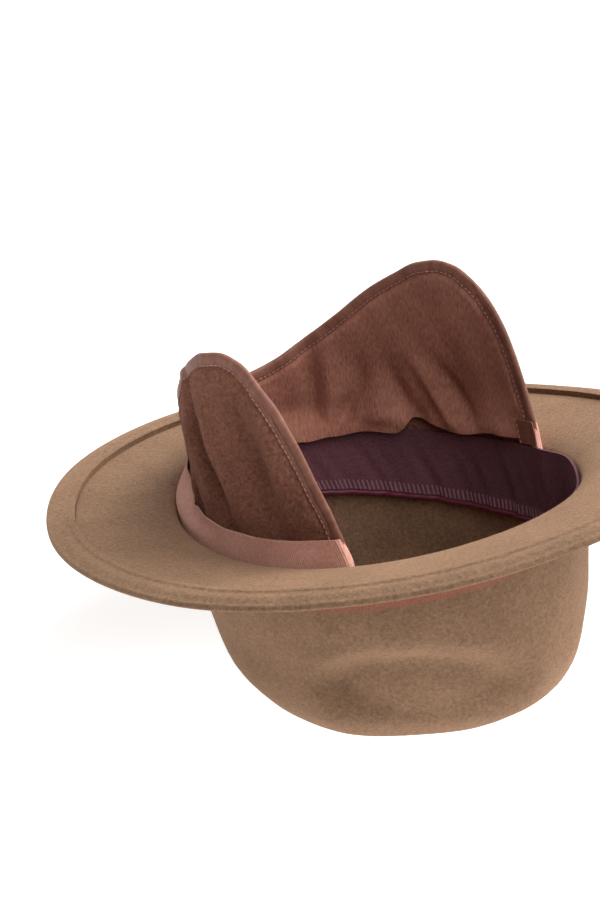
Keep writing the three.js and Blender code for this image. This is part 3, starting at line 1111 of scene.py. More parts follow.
FELT = ClothFinish("tan_wool_felt", Weave.FELTED, "4d3728", "9c7b60", sheen=1.0, sheen_rough=0.5, blotch=0.2)
BAND = ClothFinish("red_brown_ribbon", Weave.RIBBED, "6b3f30", "9c6450", rough=0.75)
FLEECE = ClothFinish(
    "dark_rust_fleece", Weave.FLEECE, "472419", "a9725c", sheen=0.5, relief=0.0006, blotch=0.15
)
LINING = ClothFinish("brushed_rust_lining", Weave.BRUSHED, "683b2f", "ab7764", sheen=0.45)
TAPE = ClothFinish("rust_satin_tape", Weave.SATIN, "5e342a", "926554", rough=0.55, sheen=0.2)
GROSGRAIN = ClothFinish("dusty_pink_grosgrain", Weave.RIBBED, "b07a6c", "e6b2a0", rough=0.7)
AUBERGINE = ClothFinish("aubergine_cloth", Weave.PLAIN, "3b1e25", "69434c", sheen=0.4)
PIPING_SATIN = ClothFinish("burgundy_satin", Weave.SATIN, "3c1522", "7a3448", rough=0.35, sheen=0.2)
PURPLE_THREAD = ClothFinish("plum_thread", Weave.THREAD, "5c3a44", "946c77", rough=0.6)
RUST_THREAD = ClothFinish("pale_rust_thread", Weave.THREAD, "8a5c4e", "c09484", rough=0.6)
ROSE_THREAD = ClothFinish("rose_thread", Weave.THREAD, "96695b", "c49a8a", rough=0.6)


@dataclass
class FeltBody:
    """The moulded felt: a dented crown, the turn of the brim and its folded welt."""

    hat: HatShape
    around: int = 256
    welt_width: float = 11.0
    overhang: float = 2.0
    welt_step: float = 2.0
    welt_lip: float = 0.6
    groove_at: float = 8.6
    groove_depth: float = 0.25
    trough: float = 1.7
    roll_height: float = 0.8
    roll_inset: float = 0.9
    roll_spread: float = 1.2
    crease_past: float = 0.4
    crease_spread: float = 0.8
    lip_spread: float = 0.55
    edge_fall: float = 1.4
    edge_reach: float = 4.5
    brim_start: float = 0.11
    fine_from: float = 17.0
    brim_rings: int = 18
    smoothing: int = 3
    rim_steps: int = 9
    brim_wave: float = 0.5
    seat: float = 0.5
    fibres_per_m2: float = 60000.0
    fibre_length: float = 1.5
    fibre_width: float = 0.06

    def middle(self) -> tuple[Array, Array, int]:
        """The mid-surface as rings from the crown top out to the brim's edge.

        Returns:
            The rings, each ring's mean distance in from the edge, and the ridge's number.
        """
        hat = self.hat
        angle = np.arange(self.around) * FULL_TURN / self.around
        width = hat.brim_width(angle)
        rings = [hat.crown_top(angle, s) for s in TOP_RINGS]
        ridge = len(rings) - 1
        start = (hat.felt / 2 + hat.break_radius - hat.opening_height(angle)) / (
            hat.crown_height - hat.felt / 2 + hat.half_length * np.cos(angle) * hat.slope
        )
        rings += [hat.wall(angle, 1 + (start - 1) * t) for t in WALL_RINGS]
        rings += [hat.brim_break(angle, t) for t in BREAK_RINGS]
        wave = self.brim_wave * ripple(angle, (3, 5, 8), 11)
        inner, count = self.brim_start, len(rings)
        fine = 1 - self.fine_from / width
        shares = [inner + (fine - inner) * t for t in np.linspace(0, 1, self.brim_rings)]
        steps = (*(self.welt_width + np.array(LIP_RINGS)), *EDGE_RINGS)
        shares += [1 - inwards / width for inwards in steps]
        for share in shares:
            rings.append(hat.brim(angle, share) + np.stack([0 * wave, 0 * wave, wave * share**2], -1))
        inwards = np.concatenate([np.full(count + self.brim_rings, BEYOND_WELT), steps])
        grid = np.array(rings)
        for _ in range(self.smoothing):
            soft = grid.copy()
            soft[1:-1] = (grid[:-2] + 2 * grid[1:-1] + grid[2:]) / 4
            for k in (*range(ridge - 3, ridge + 4), *range(count - 3, count + 3)):
                grid[k] = soft[k]
        return grid, inwards, ridge

    def head_side_lift(self, inwards: Array) -> Array:
        """Height of the head side over the mid-surface, with the welt's lip and groove.

        Args:
            inwards: Distance in from the brim's edge.

        Returns:
            The heights in millimetres.
        """
        lip = self.welt_width - self.welt_lip
        step = self.welt_step * (1 - ease(inwards, lip, self.welt_width))
        roll = self.roll_height * bell(inwards - lip + self.roll_inset, self.roll_spread)
        trough = -self.trough * bell(inwards - self.welt_width - self.crease_past, self.crease_spread)
        groove = -self.groove_depth * bell(inwards - self.groove_at, self.crease_spread)
        fall = -self.edge_fall * (1 - ease(inwards, 0, self.edge_reach))
        return self.hat.felt / 2 + step + roll + trough + groove + fall

    def build(self) -> bpy.types.Object:
        """The whole felt as one closed wall.

        Returns:
            The felt.
        """
        hat = self.hat
        grid, inwards, ridge = self.middle()
        across = np.gradient(grid, axis=0)
        along = (np.roll(grid, -1, axis=1) - np.roll(grid, 1, axis=1)) / 2
        normal = unit(np.cross(across, along))
        head = grid + normal * self.head_side_lift(inwards)[:, None, None]
        lip = bell(inwards - self.welt_width + self.roll_inset, self.lip_spread)
        head = head - unit(across) * (self.overhang * lip)[:, None, None]
        out = grid - normal * hat.felt / 2
        ground = -(hat.crown_height + out[..., 0] * hat.slope)
        for k in range(ridge - 5, ridge + 6):
            over = out[k, :, 2] - ground[k]
            out[k, :, 2] = ground[k] + np.maximum(0, over - self.seat)
        out[..., 2] = np.maximum(out[..., 2], ground)
        folded = self.welt_step - self.edge_fall
        radius = (hat.felt + folded) / 2
        outward = unit(grid[-1] - grid[-2])
        rim = []
        for bend in np.linspace(0, math.pi, self.rim_steps + 2)[1:-1]:
            lift = folded / 2 + radius * math.cos(bend)
            rim.append(grid[-1] + normal[-1] * lift + outward * radius * math.sin(bend))
        rings = np.concatenate([out, np.array(rim)[::-1], head[::-1]])
        pole = hat.crown_top(np.zeros(1), np.zeros(1))[0]
        up = np.array([0, 0, hat.felt / 2])
        points = np.concatenate([rings.reshape(-1, 3), [pole - up, pole + up]])
        faces = ring_faces(len(rings), self.around, closed=False)
        return mesh_object("felt_hat", hat.place(points), faces, 40)

    def fibres(self, felt: bpy.types.Object) -> bpy.types.Object:
        """Short loose fibres standing off the felt.

        Args:
            felt: The felt that they stand on.

        Returns:
            The fibres.
        """
        hair = hair_object("felt_hair", self.fibre_length, self.fibre_width)
        values = {"Density": self.fibres_per_m2, "Lie": 1.5, "Lowest": 0.004, "Hair": hair, "Seed": 4}
        made = fibre_tree().grow("felt_fibres", felt, keep=True, Material=FELT.material(), **values)
        bpy.data.objects.remove(hair)
        return made

    def dress(self) -> None:
        """Builds the felt and its fibres and gives them their finish."""
        felt = self.build()
        fibres = self.fibres(felt)
        dress(felt, FELT)
        dress(fibres, FELT)
        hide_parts("felt_body")


def hair_object(name: str, length: float, width: float) -> bpy.types.Object:
    """One fibre: a slim closed sliver, bent in the middle, with its root at the origin.

    Args:
        name: The fibre's name.
        length: Its length in millimetres.
        width: Its width at the root.

    Returns:
        The fibre.
    """
    corners = (0, FULL_TURN / 3, 2 * FULL_TURN / 3)
    ring = [(width * math.cos(a) / 2, width * math.sin(a) / 2) for a in corners]
    points = [(x, y, 0) for x, y in ring] + [(x + 0.12 * length, y, 0.55 * length) for x, y in ring]
    points = np.array(points + [(0.35 * length, 0, length)]) * MM
    faces = [(2, 1, 0), (0, 1, 4, 3), (1, 2, 5, 4), (2, 0, 3, 5), (3, 4, 6), (4, 5, 6), (5, 3, 6)]
    return mesh_object(name, points, faces)


def slab(name: str, hat: HatShape, near: Array, far: Array, run: Array, rise: Array) -> bpy.types.Object:
    """A cloth with two faces.

    Args:
        name: The piece's name.
        hat: The hat that it belongs to.
        near: One face's grid of points, columns by rows, in the hat's frame.
        far: The other face's grid.
        run: Place along the cloth at each point, in millimetres.
        rise: Place across the cloth at each point, in millimetres.

    Returns:
        The closed cloth.
    """
    columns, rows = near.shape[:2]
    points = hat.place(np.concatenate([near.reshape(-1, 3), far.reshape(-1, 3)]))
    piece = mesh_object(name, points, slab_faces(columns, rows))
    mark_cloth(piece, np.tile(run.ravel(), 2), np.tile(rise.ravel(), 2))
    return piece


def round_cloth(name: str, hat: HatShape, rings: list, run: Array, rise: Array) -> bpy.types.Object:
    """A cloth band closed round the hat.

    Args:
        name: The piece's name.
        hat: The hat that it belongs to.
        rings: The rings of its one face, then those of the other back again, in the hat's frame.
        run: Place along the band at each point of a ring, in millimetres.
        rise: Place across the band at each ring of one face, in millimetres.

    Returns:
        The closed band.
    """
    faces = ring_faces(len(rings), len(run), closed=True)
    piece = mesh_object(name, hat.place(np.array(rings)), faces)
    mark_cloth(piece, np.tile(run, len(rings)), np.repeat([*rise, *rise[::-1]], len(run)))
    return piece


def mark_cloth(piece: bpy.types.Object, run: Array, rise: Array) -> None:
    """Keeps the cloth's own length and width, in metres, for its weave."""
    store(piece, "run", run * MM)
    store(piece, "rise", rise * MM)


@dataclass
class FlapCloth:
    """The flap's two cloths: fleece on its outside and a brushed lining towards the head."""

    flap: FlapShape
    edge_points: int = 420
    rows: int = 44
    fleece_hem: float = -3.0
    lining_hem: float = -2.0
    lining_roll: float = -6.5
    hem_wave: float = 1.1
    hem_wave_length: float = 39.0
    hem_rise: float = 6.0
    hem_droop: float = 4.0
    pinch_at: float = 110.0
    pinch_lift: float = 7.0
    pinch_before: float = 5.0
    pinch_after: float = 13.0
    rise_over: tuple[float, float] = (60.0, 165.0)
    droop_over: tuple[float, float] = (-64.0, -48.0)
    puff: float = 1.4
    puff_over: tuple[float, float] = (10.0, 20.0)
    seam_spread: float = 0.9
    seam_depth: float = 0.3
    roll_height: float = 11.0
    tuck: float = 1.6
    thick: float = 1.0
    gap: float = 0.05
    pile_per_m2: float = 385000.0
    pile_length: float = 0.8
    pile_width: float = 0.07

    def pinched(self, along: Array) -> Array:
        """How far the lining's hem stands above its straight line, with its pinch.

        Args:
            along: Length along the flap from the back centre.

        Returns:
            The heights in millimetres.
        """
        away = along - self.pinch_at
        spread = np.where(away < 0, self.pinch_before, self.pinch_after)
        pinch = np.exp(-np.abs(away / spread) ** 1.4)
        wave = np.cos(FULL_TURN * (along - self.pinch_at + 7) / self.hem_wave_length)
        rise = self.hem_rise * ease(np.abs(along), *self.rise_over)
        rise = rise - self.hem_droop * ease(-np.abs(along), *self.droop_over)
        return self.pinch_lift * pinch - self.hem_wave * wave + rise

    def grids(self, hem: float) -> tuple[Array, Array]:
        """Lengths along the flap and heights over the opening of a cloth with this hem.

        Args:
            hem: How far its lower edge stands over the opening's edge.

        Returns:
            The two grids, columns by rows.
        """
        line, normal = self.flap.edge(self.edge_points)
        top = line + normal * self.tuck
        foot = self.flap.level(top[:, 0]) + hem
        if hem > self.fleece_hem:
            foot = foot + self.pinched(top[:, 0])
        keep = top[:, 1] > foot + 1
        top, foot = top[keep], foot[keep]
        share = np.linspace(0, 1, self.rows)
        height = foot[:, None] + (top[:, 1] - foot)[:, None] * share
        return np.repeat(top[:, :1], self.rows, axis=1), height

    def swell(self, along: Array, height: Array) -> Array:
        """How much the soft cloth stands up beside the tape that binds it.

        Args:
            along: Length along the flap from the back centre.
            height: Height over the opening's mean plane.

        Returns:
            Millimetres, away from the middle of the flap.
        """
        edge, _ = self.flap.edge(self.edge_points)
        away = np.min(np.hypot(along[..., None] - edge[:, 0], height[..., None] - edge[:, 1]), axis=-1)
        leg = self.flap.binding_width
        seam = self.seam_depth * bell(away - leg, self.seam_spread)
        low = ease(height - self.flap.level(along), *self.puff_over)
        return low * (self.puff * ease(away, leg - 0.2, leg + 2.6) - seam)

    def layer(self, name: str, hem: float, near: float, far: float, roll: float) -> bpy.types.Object:
        """One cloth of the flap.

        Args:
            name: The piece's name.
            hem: How far its lower edge stands over the opening's edge.
            near: Its first face's distance out from the middle of the flap's wall.
            far: Its second face's distance.
            roll: How far its hem rolls out from the wall, negative towards the head.

        Returns:
            The closed cloth.
        """
        along, height = self.grids(hem)
        low = bell(height - height[:, :1], self.roll_height)
        ends = ease(self.flap.reach - np.abs(along), 6, 22)
        swell = self.swell(along, height)
        lips = [across + roll * low * ends + np.sign(across) * swell for across in (near, far)]
        faces = [self.flap.point(along, height, lip) for lip in lips]
        return slab(name, self.flap.hat, faces[0], faces[1], along, height)

    def flat_size(self, hem: float) -> tuple[tuple[float, float], float]:
        """The cloth's flat height and length in metres, and its area in square metres.

        Args:
            hem: How far its lower edge stands over the opening's edge.

        Returns:
            The height and length, and the area.
        """
        along, height = self.grids(hem)
        flat = (float(np.ptp(height)) * MM, float(np.ptp(along)) * MM)
        area = grid_area(np.stack([along, height, 0 * along], -1) * MM)
        return flat, max(area, 0.3 * flat[0] * flat[1])

    def dress(self) -> None:
        """Builds the two cloths and the fleece's pile, and gives them their finish."""
        fleece = self.layer("flap_fleece", self.fleece_hem, self.gap, self.thick, 0.0)
        lining = self.layer("flap_lining", self.lining_hem, -self.thick, -self.gap, self.lining_roll)
        hair = hair_object("pile_hair", self.pile_length, self.pile_width)
        values = {"Density": self.pile_per_m2, "Lie": 1.25, "Hair": hair, "Seed": 9}
        pile = fibre_tree().grow("fleece_pile", fleece, keep=True, Material=FLEECE.material(), **values)
        bpy.data.objects.remove(hair)
        dress(fleece, FLEECE)
        dress(lining, LINING)
        dress(pile, FLEECE)
        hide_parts("earflap_panel")
        for cloth, hem, trim in ((fleece, self.fleece_hem, [pile]), (lining, self.lining_hem, [])):
            flat, area = self.flat_size(hem)


@dataclass
class Binding:
    """The satin tape folded over the flap's free edge, with its stitches."""

    flap: FlapShape
    columns: int = 520
    leg: float = 6.0
    half: float = 1.6
    tape: float = 0.5
    behind_ribbon: float = 0.69
    join_at: float = 117.0
    join_width: float = 9.0
    join_thick: float = 0.45
    crease_at: float = 154.0
    crease_depth: float = 1.0
    crease_spread: float = 1.1
    slant: float = 0.35
    sunk: float = 0.8
    sunk_from: float = 150.0
    waviness: float = 0.1
    stitch_in: float = 5.3
    stitch_pitch: float = 2.6
    stitch_length: float = 2.1
    stitch_radius: float = 0.32

    def section(self) -> tuple[Array, Array]:
        """The folded tape's section: distance in from the edge, and across the flap.

        Returns:
            The two distances of each point round the closed section.
        """
        bends = np.radians(np.linspace(90, -90, 9))

        def fold(half: float) -> tuple[Array, Array]:
            """One face of the fold, from one leg's end round to the other's.

            Args:
                half: Half of the fold's thickness on this face.

            Returns:
                The distances in from the edge and across the flap.
            """
            legs = np.array([self.leg, 5.3, 4.6, 3.8, 3.0, 2.3])
            belly = half + np.array([-0.55, -0.1, 0.05, 0.12, 0.12, 0.08])
            down = np.concatenate([legs, self.half - half * np.cos(bends), legs[::-1]])
            across = np.concatenate([belly, half * np.sin(bends), -belly[::-1]])
            return down, across

        outer, inner = fold(self.half), fold(self.half - self.tape)
        return tuple(np.concatenate([a, b[::-1]]) for a, b in zip(outer, inner))

    def swell(self, along: Array, down: Array) -> Array:
        """How much thicker the tape lies at its join, and thinner at its crease.

        Args:
            along: Length along the flap from the back centre.
            down: Distance in from the flap's free edge.

        Returns:
            Millimetres, away from the middle of the flap.
        """
        slant = along - self.slant * down
        join_end = self.join_at + self.join_width
        join = ease(slant, self.join_at, self.join_at + 0.5) * (1 - ease(slant, join_end, join_end + 2))
        crease = self.crease_depth * bell(slant - self.crease_at, self.crease_spread)
        ends = ease(down, 0, 2)
        sunk = ease(np.abs(along), self.sunk_from, self.sunk_from + 10) * bell(down - 3.8, 0.8)
        soft = self.waviness * ripple(along, (0.9, 1.37, 2.1), 3)
        return self.join_thick * join - (crease + self.sunk * sunk) * ends + soft * ends

    def slim(self, height: Array, level: Array) -> Array:
        """Share of the tape's full thickness, less where the ribbon covers it."""
        above = self.flap.ribbon_above
        return self.behind_ribbon + (1 - self.behind_ribbon) * ease(height - level, above, above + 6)

    def build(self) -> bpy.types.Object:
        """The folded tape from one end of the flap to the other.

        Returns:
            The tape.
        """
        line, normal = self.flap.edge(self.columns)
        down, across = self.section()
        along = line[:, :1] + normal[:, :1] * down
        height = line[:, 1:] + normal[:, 1:] * down
        level = self.flap.level(along)
        side = np.sign(across) * np.minimum(1, np.abs(across))
        across = across * self.slim(height, level) + side * self.swell(along, down[None, :])
        points = self.flap.hat.place(self.flap.point(along, height, across))
        piece = mesh_object("flap_binding_tape", points, sweep_faces(self.columns, len(down)))
        run = np.linspace(0, self.length(), self.columns)
        width = np.linspace(0, 4 * self.leg, len(down))
        mark_cloth(piece, np.repeat(run, len(down)), np.tile(width, self.columns))
        return piece

    def length(self) -> float:
        """Length of the flap's free edge in millimetres."""
        line, _ = self.flap.edge(self.columns)
        return float(np.linalg.norm(np.diff(line, axis=0), axis=1).sum())

    def stitch_line(self, side: float) -> Array:
        """The stitched line on one face of the tape, in metres.

        Args:
            side: 1 for the outer face, minus 1 for the face towards the head.

        Returns:
            The line's points.
        """
        line, normal = self.flap.edge(900)
        at = line + normal * self.stitch_in
        level = self.flap.level(at[:, 0])
        at = at[at[:, 1] > level + self.flap.ribbon_above + 1]
        across = side * (self.half + 0.14)
        swell = side * self.swell(at[:, 0], np.full(len(at), self.stitch_in))
        return self.flap.hat.place(self.flap.point(at[:, 0], at[:, 1], across + swell))

    def dress(self) -> None:
        """Builds the tape and its stitches and gives them their finish."""
        tape = self.build()
        dress(tape, TAPE)
        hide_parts("earflap_binding")
        sizes = {"Pitch": self.stitch_pitch, "Length": self.stitch_length, "Radius": self.stitch_radius}
        for name, side in (("outside", 1.0), ("inside", -1.0)):
            row = stitch_row(f"binding_stitches_{name}", self.stitch_line(side), sizes, RUST_THREAD)
            dress(row, RUST_THREAD)
        flat = (2 * (self.leg + self.half) * MM, self.length() * MM)


def stitch_row(name: str, line: Array, sizes: dict, finish: ClothFinish) -> bpy.types.Object:
    """A row of stitches along a line in metres, with its sizes in millimetres.

    Args:
        name: The piece's name.
        line: The line's points.
        sizes: The stitches' pitch, length and radius.
        finish: The thread's finish.

    Returns:
        The stitches.
    """
    metres = {key: value * MM for key, value in sizes.items()}
    source = line_object(f"{name}_line", line)
    return stitch_tree().grow(name, source, Material=finish.material(), **metres)


@dataclass
class HingeRibbon:
    """The grosgrain ribbon round the flap's foot, with its ends folded over to the inside."""

    flap: FlapShape
    overrun: float = 2.5
    across: float = 2.0
    inner_across: float = -1.55
    thick: float = 0.7
    fold_back: float = 3.0
    tab: tuple[float, float, float] = (14.0, 1.0, 13.0)
    tab_slant: float = 3.0
    tab_past: float = 1.6
    tab_seam_past: float = 2.6
    tab_thick: float = 0.6
    tab_lift: float = 7.4
    end_slant: float = 4.5
    lean: float = 0.85
    rows: int = 10
    step: float = 0.17
    rib_pitch: float = 1.0
    rib_height: float = 0.07

    def path(self) -> tuple[Array, Array, Array, Array]:
        """The ribbon's line: run, length along the flap, distance across, and its outward normal.

        Returns:
            The run, and for each of its points the place along, the place across, and the turn of
            the ribbon's outer face, 0 facing out and pi facing in.
        """
        radius = (self.across - self.inner_across) / 2
        end = self.flap.reach + self.overrun - radius
        bend = math.pi * radius
        total = 2 * (end + bend + self.fold_back)
        run = np.arange(0, total, self.step)
        from_end = np.minimum(run, total - run)
        side = np.where(run < total / 2, -1.0, 1.0)
        turn = np.clip((self.fold_back + bend - from_end) / radius, 0, math.pi)
        past = np.minimum(from_end - self.fold_back, 0)
        straight = np.maximum(from_end - self.fold_back - bend, 0)
        along = end - straight + radius * np.sin(turn) + past
        centre = (self.across + self.inner_across) / 2
        return run, side * along, centre + radius * np.cos(turn), side * turn

    def follow(self, along: Array, height: Array) -> Array:
        """How far the ribbon gives way: with the wide folds, and out of the narrow ones' way."""
        broad = self.flap.push(along, height, WIDE_FOLD)
        return self.lean * broad + np.maximum(0, self.flap.push(along, height) - broad)

    def build(self) -> bpy.types.Object:
        """The ribbon with its ribs.

        Returns:
            The ribbon.
        """
        run, along, across, turn = self.path()
        low = -self.flap.ribbon_below + self.tab_lift * ease(np.abs(turn), 1.2, 2.6)
        share = np.linspace(0, 1, self.rows)
        up = low[:, None] + (self.flap.ribbon_above - low)[:, None] * share
        height = self.flap.level(along)[:, None] + up
        slant = self.end_slant * share**1.5 * ease(np.abs(along), 150, 186)[:, None]
        wide = along[:, None] - np.sign(along)[:, None] * slant
        push = np.where(np.abs(turn)[:, None] > 0.1, self.flap.push(wide, height), self.follow(wide, height))
        across = across[:, None]
        faces = []
        for side in (0.5, -0.5):
            out = side * self.thick * np.cos(turn)[:, None]
            on = side * self.thick * np.sin(turn)[:, None]
            faces.append(self.flap.point(wide + on, height, across + out, push))
        runs = np.repeat(run[:, None], self.rows, axis=1)
        plain = slab("hinge_ribbon_plain", self.flap.hat, faces[0], faces[1], runs, up)
        sizes = {"Pitch": self.rib_pitch * MM, "Height": self.rib_height * MM}
        return rib_tree().grow("hinge_ribbon_band", plain, Material=GROSGRAIN.material(), **sizes)

    def tab_lean(self, rise: Array) -> Array:
        """How far a corner tab leans back from the flap's end at each height."""
        _, low, high = self.tab
        return self.tab_slant * ((rise - low) / (high - low)) ** 1.5

    def end_tab(self, name: str, side: float) -> bpy.types.Object:
        """A short piece of tape sewn over the flap's corner, on the head's side.

        Args:
            name: The piece's name.
            side: Minus 1 for the flap's near end, 1 for its far end.

        Returns:
            The closed tape.
        """
        length, low, high = self.tab
        rise, run = np.meshgrid(np.linspace(low, high, 14), np.linspace(0, length, 12))
        along = side * (self.flap.reach + self.tab_past + side - run - self.tab_lean(rise))
        height = self.flap.level(along) + rise
        inner = self.inner_across - self.thick / 2 - 0.15
        push = self.flap.push(along, height)
        faces = [self.flap.point(along, height, inner - out, push) for out in (0.0, self.tab_thick)]
        return slab(name, self.flap.hat, faces[0], faces[1], run, rise)

    def stitches(self) -> list[bpy.types.Object]:
        """Small stitches below the ribbon's top edge and down its folded ends.

        Returns:
            The rows, the top one first.
        """
        flap = self.flap
        along = np.linspace(-flap.reach + 4, flap.reach - 4, 900)
        height = flap.level(along) + flap.ribbon_above - 1.3
        push = self.follow(along, height)
        out = self.across + self.thick / 2 + 0.05
        top = flap.hat.place(flap.point(along, height, out, push))
        rows = [stitch_row("ribbon_top_stitches", top, TOP_STITCH, ROSE_THREAD)]
        for name, side in (("near", -1.0), ("far", 1.0)):
            length, low, high = self.tab
            rise = np.linspace(low + 0.5, high - 0.6, 40)
            at = side * (flap.reach + self.tab_seam_past + side - length - self.tab_lean(rise))
            face = self.inner_across - self.thick / 2 - 0.85
            line = flap.hat.place(flap.point(at, rise + flap.level(at), face))
            rows.append(stitch_row(f"ribbon_end_stitches_{name}", line, END_STITCH, ROSE_THREAD))
        return rows

    def dress(self) -> None:
        """Builds the ribbon and its stitches and gives them their finish."""
        ribbon = self.build()
        dress(ribbon, GROSGRAIN)
        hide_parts("hinge_ribbon")
        tabs = [self.end_tab("corner_tab_near", -1.0), self.end_tab("corner_tab_far", 1.0)]
        for tab in tabs:
            dress(tab, TAPE)
        rows = self.stitches()
        for row in rows:
            dress(row, ROSE_THREAD)


@dataclass
class Sweatband:
    """The cloth band inside the head opening, with its whip stitches and piped lower edge."""

    hat: HatShape
    around: int = 360
    rows: int = 18
    thick: float = 1.2
    inset: float = 3.9
    top: float = 0.0
    front_top: float = 5.0
    front_inset: float = 0.6
    flap_end: tuple[float, float] = (48.0, 61.0)
    top_end: tuple[float, float] = (64.0, 72.0)
    far_end: tuple[float, float] = (24.0, 48.0)
    wrinkle: float = 0.5
    wrinkle_slant: float = 0.16
    slack: float = 0.8
    front_width: float = 38.0
    back_width: float = 31.0
    standoff: float = 1.5
    bulge: float = 0.5
    bulge_at: float = 0.3
    bulge_spread: float = 0.22
    piping_radius: float = 1.3
    piping_gap: float = 0.3
    cord_step: float = 1.5
    stitch_pitch: float = 2.5
    stitch_height: float = 4.6
    stitch_radius: float = 0.55

    def bottom(self, angle: Array) -> Array:
        """Depth of the band's lower edge below the opening's edge."""
        return self.back_width + (self.front_width - self.back_width) * (1 + np.cos(angle)) / 2

    def point(self, angle: Array, share: Array, inwards: float) -> Array:
        """A point of the band, at a share of its width down and a distance in from its back.

        Args:
            angle: Radians from the front.
            share: Share of the band's width, down from its upper edge.
            inwards: Distance in from the band's back.

        Returns:
            The points in the hat's frame.
        """
        turned = np.abs(np.degrees((angle + math.pi) % FULL_TURN - math.pi))
        behind_flap = ease(turned, *self.flap_end)
        signed = (np.degrees(angle) + 180) % 360 - 180
        flush = np.maximum(ease(turned, *self.top_end), ease(signed, *self.far_end))
        top = self.front_top + (self.top - self.front_top) * flush
        back = self.front_inset + (self.inset - self.front_inset) * behind_flap
        drop = top + (self.bottom(angle) - top) * share
        soft = 0.5 + 0.5 * ripple(angle, (7, 11, 17, 26), 21)
        belly = self.bulge * bell(share - self.bulge_at, self.bulge_spread)
        slanted = self.wrinkle * ripple(angle + self.wrinkle_slant * share, (23, 37, 58), 8)
        wavy = (self.slack * soft + slanted) * ease(share, 0, 0.6)
        inset = back + self.standoff * share**2 + belly + wavy
        return self.hat.lining(angle, self.hat.opening_height(angle) - drop, inset + inwards)

    def angles(self, count: int) -> Array:
        """Even angles round the opening."""
        return np.arange(count) * FULL_TURN / count

    def build(self) -> bpy.types.Object:
        """The band as one closed cloth.

        Returns:
            The band.
        """
        angle = self.angles(self.around)
        share = np.linspace(0, 1, self.rows)
        rings = [self.point(angle, s, self.thick) for s in share]
        rings += [self.point(angle, s, 0.0) for s in share[::-1]]
        run = self.length() * angle / FULL_TURN
        width = (self.front_width + self.back_width) / 2
        return round_cloth("sweatband_cloth_band", self.hat, rings, run, share * width)

    def length(self) -> float:
        """Length of the band round the opening."""
        line = self.point(self.angles(720), np.full(720, 0.5), self.thick / 2)
        return float(np.linalg.norm(np.diff(line, axis=0, append=line[:1]), axis=1).sum())

    def piping(self) -> bpy.types.Object:
        """The satin piping below the band's lower edge.

        Returns:
            The piping.
        """
        angle = self.angles(480)
        line = self.point(angle, np.ones(480), self.thick / 2)
        line[:, 2] -= self.piping_radius + self.piping_gap
        source = line_object("piping_line", self.hat.place(line), cyclic=True)
        sizes = {"Radius": self.piping_radius * MM, "Step": self.cord_step * MM}
        satin = PIPING_SATIN.material()
        return cord_tree().grow("sweatband_piping_cord", source, Material=satin, **sizes)

    def whip_stitches(self) -> bpy.types.Object:
        """Slanted bars of thread above the piping.

        Returns:
            The stitches.
        """
        count = int(self.length() / self.stitch_pitch)
        angle = self.angles(count)
        lean = 0.5 * FULL_TURN / count
        width = self.bottom(angle) - self.top
        low = self.point(angle - lean / 2, 1 - 0.3 / width, self.thick - 0.2)
        high = self.point(angle + lean / 2, 1 - (0.3 + self.stitch_height) / width, self.thick - 0.2)
        mesh = bpy.data.meshes.new("whip_line")
        middle = (low + high) / 2
        ends = self.hat.place(np.stack([low, middle, high], 1)).reshape(-1, 3)
        edges = [(3 * i + k, 3 * i + k + 1) for i in range(count) for k in (0, 1)]
        mesh.from_pydata(ends.tolist(), edges, [])
        source = bpy.data.objects.new("whip_line", mesh)
        bpy.context.scene.collection.objects.link(source)
        sizes = {"Radius": self.stitch_radius * MM, "Step": self.cord_step * MM}
        thread = PURPLE_THREAD.material()
        return cord_tree().grow("sweatband_whip_stitches", source, Material=thread, **sizes)

    def dress(self) -> None:
        """Builds the band, its stitches and piping, and gives them their finish."""
        band = self.build()
        piping = self.piping()
        stitches = self.whip_stitches()
        dress(band, AUBERGINE)
        dress(stitches, PURPLE_THREAD)
        dress(piping, PIPING_SATIN)
        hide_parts("sweatband")
        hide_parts("sweatband_piping")
        width = (self.front_width + self.back_width) / 2 - self.top
        flat = (width * MM, self.length() * MM)


@dataclass
class HatBand:
    """The ribbon round the outside of the crown, just below the brim."""

    hat: HatShape
    around: int = 360
    rows: int = 8
    gap: float = 0.3
    thick: float = 1.0
    top: float = 6.5
    bottom: float = 19.5
    slant: float = 2.2

    def point(self, angle: Array, share: Array, outwards: float) -> Array:
        """A point of the ribbon, at a share of its width down from the brim.

        Args:
            angle: Radians from the front.
            share: Share of the ribbon's width, down from its upper edge.
            outwards: Distance out from the ribbon's back.

        Returns:
            The points in the hat's frame.
        """
        drop = self.top + (self.bottom + self.slant * np.cos(angle) - self.top) * share
        soft = 0.15 * ripple(angle, (5, 9, 16), 31) * share
        height = self.hat.opening_height(angle) - drop
        return self.hat.lining(angle, height, -(self.hat.felt + self.gap + outwards + soft))

    def dress(self) -> None:
        """Builds the ribbon and gives it its finish."""
        angle = np.arange(self.around) * FULL_TURN / self.around
        share = np.linspace(0, 1, self.rows)
        rings = [self.point(angle, s, self.thick) for s in share]
        rings += [self.point(angle, s, 0.0) for s in share[::-1]]
        line = self.point(np.append(angle, FULL_TURN), 0.5, self.thick / 2)
        length = float(np.linalg.norm(np.diff(line, axis=0), axis=1).sum())
        run, rise = length * angle / FULL_TURN, share * (self.bottom - self.top)
        piece = round_cloth("crown_hat_band", self.hat, rings, run, rise)
        dress(piece, BAND)
        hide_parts("hat_band")


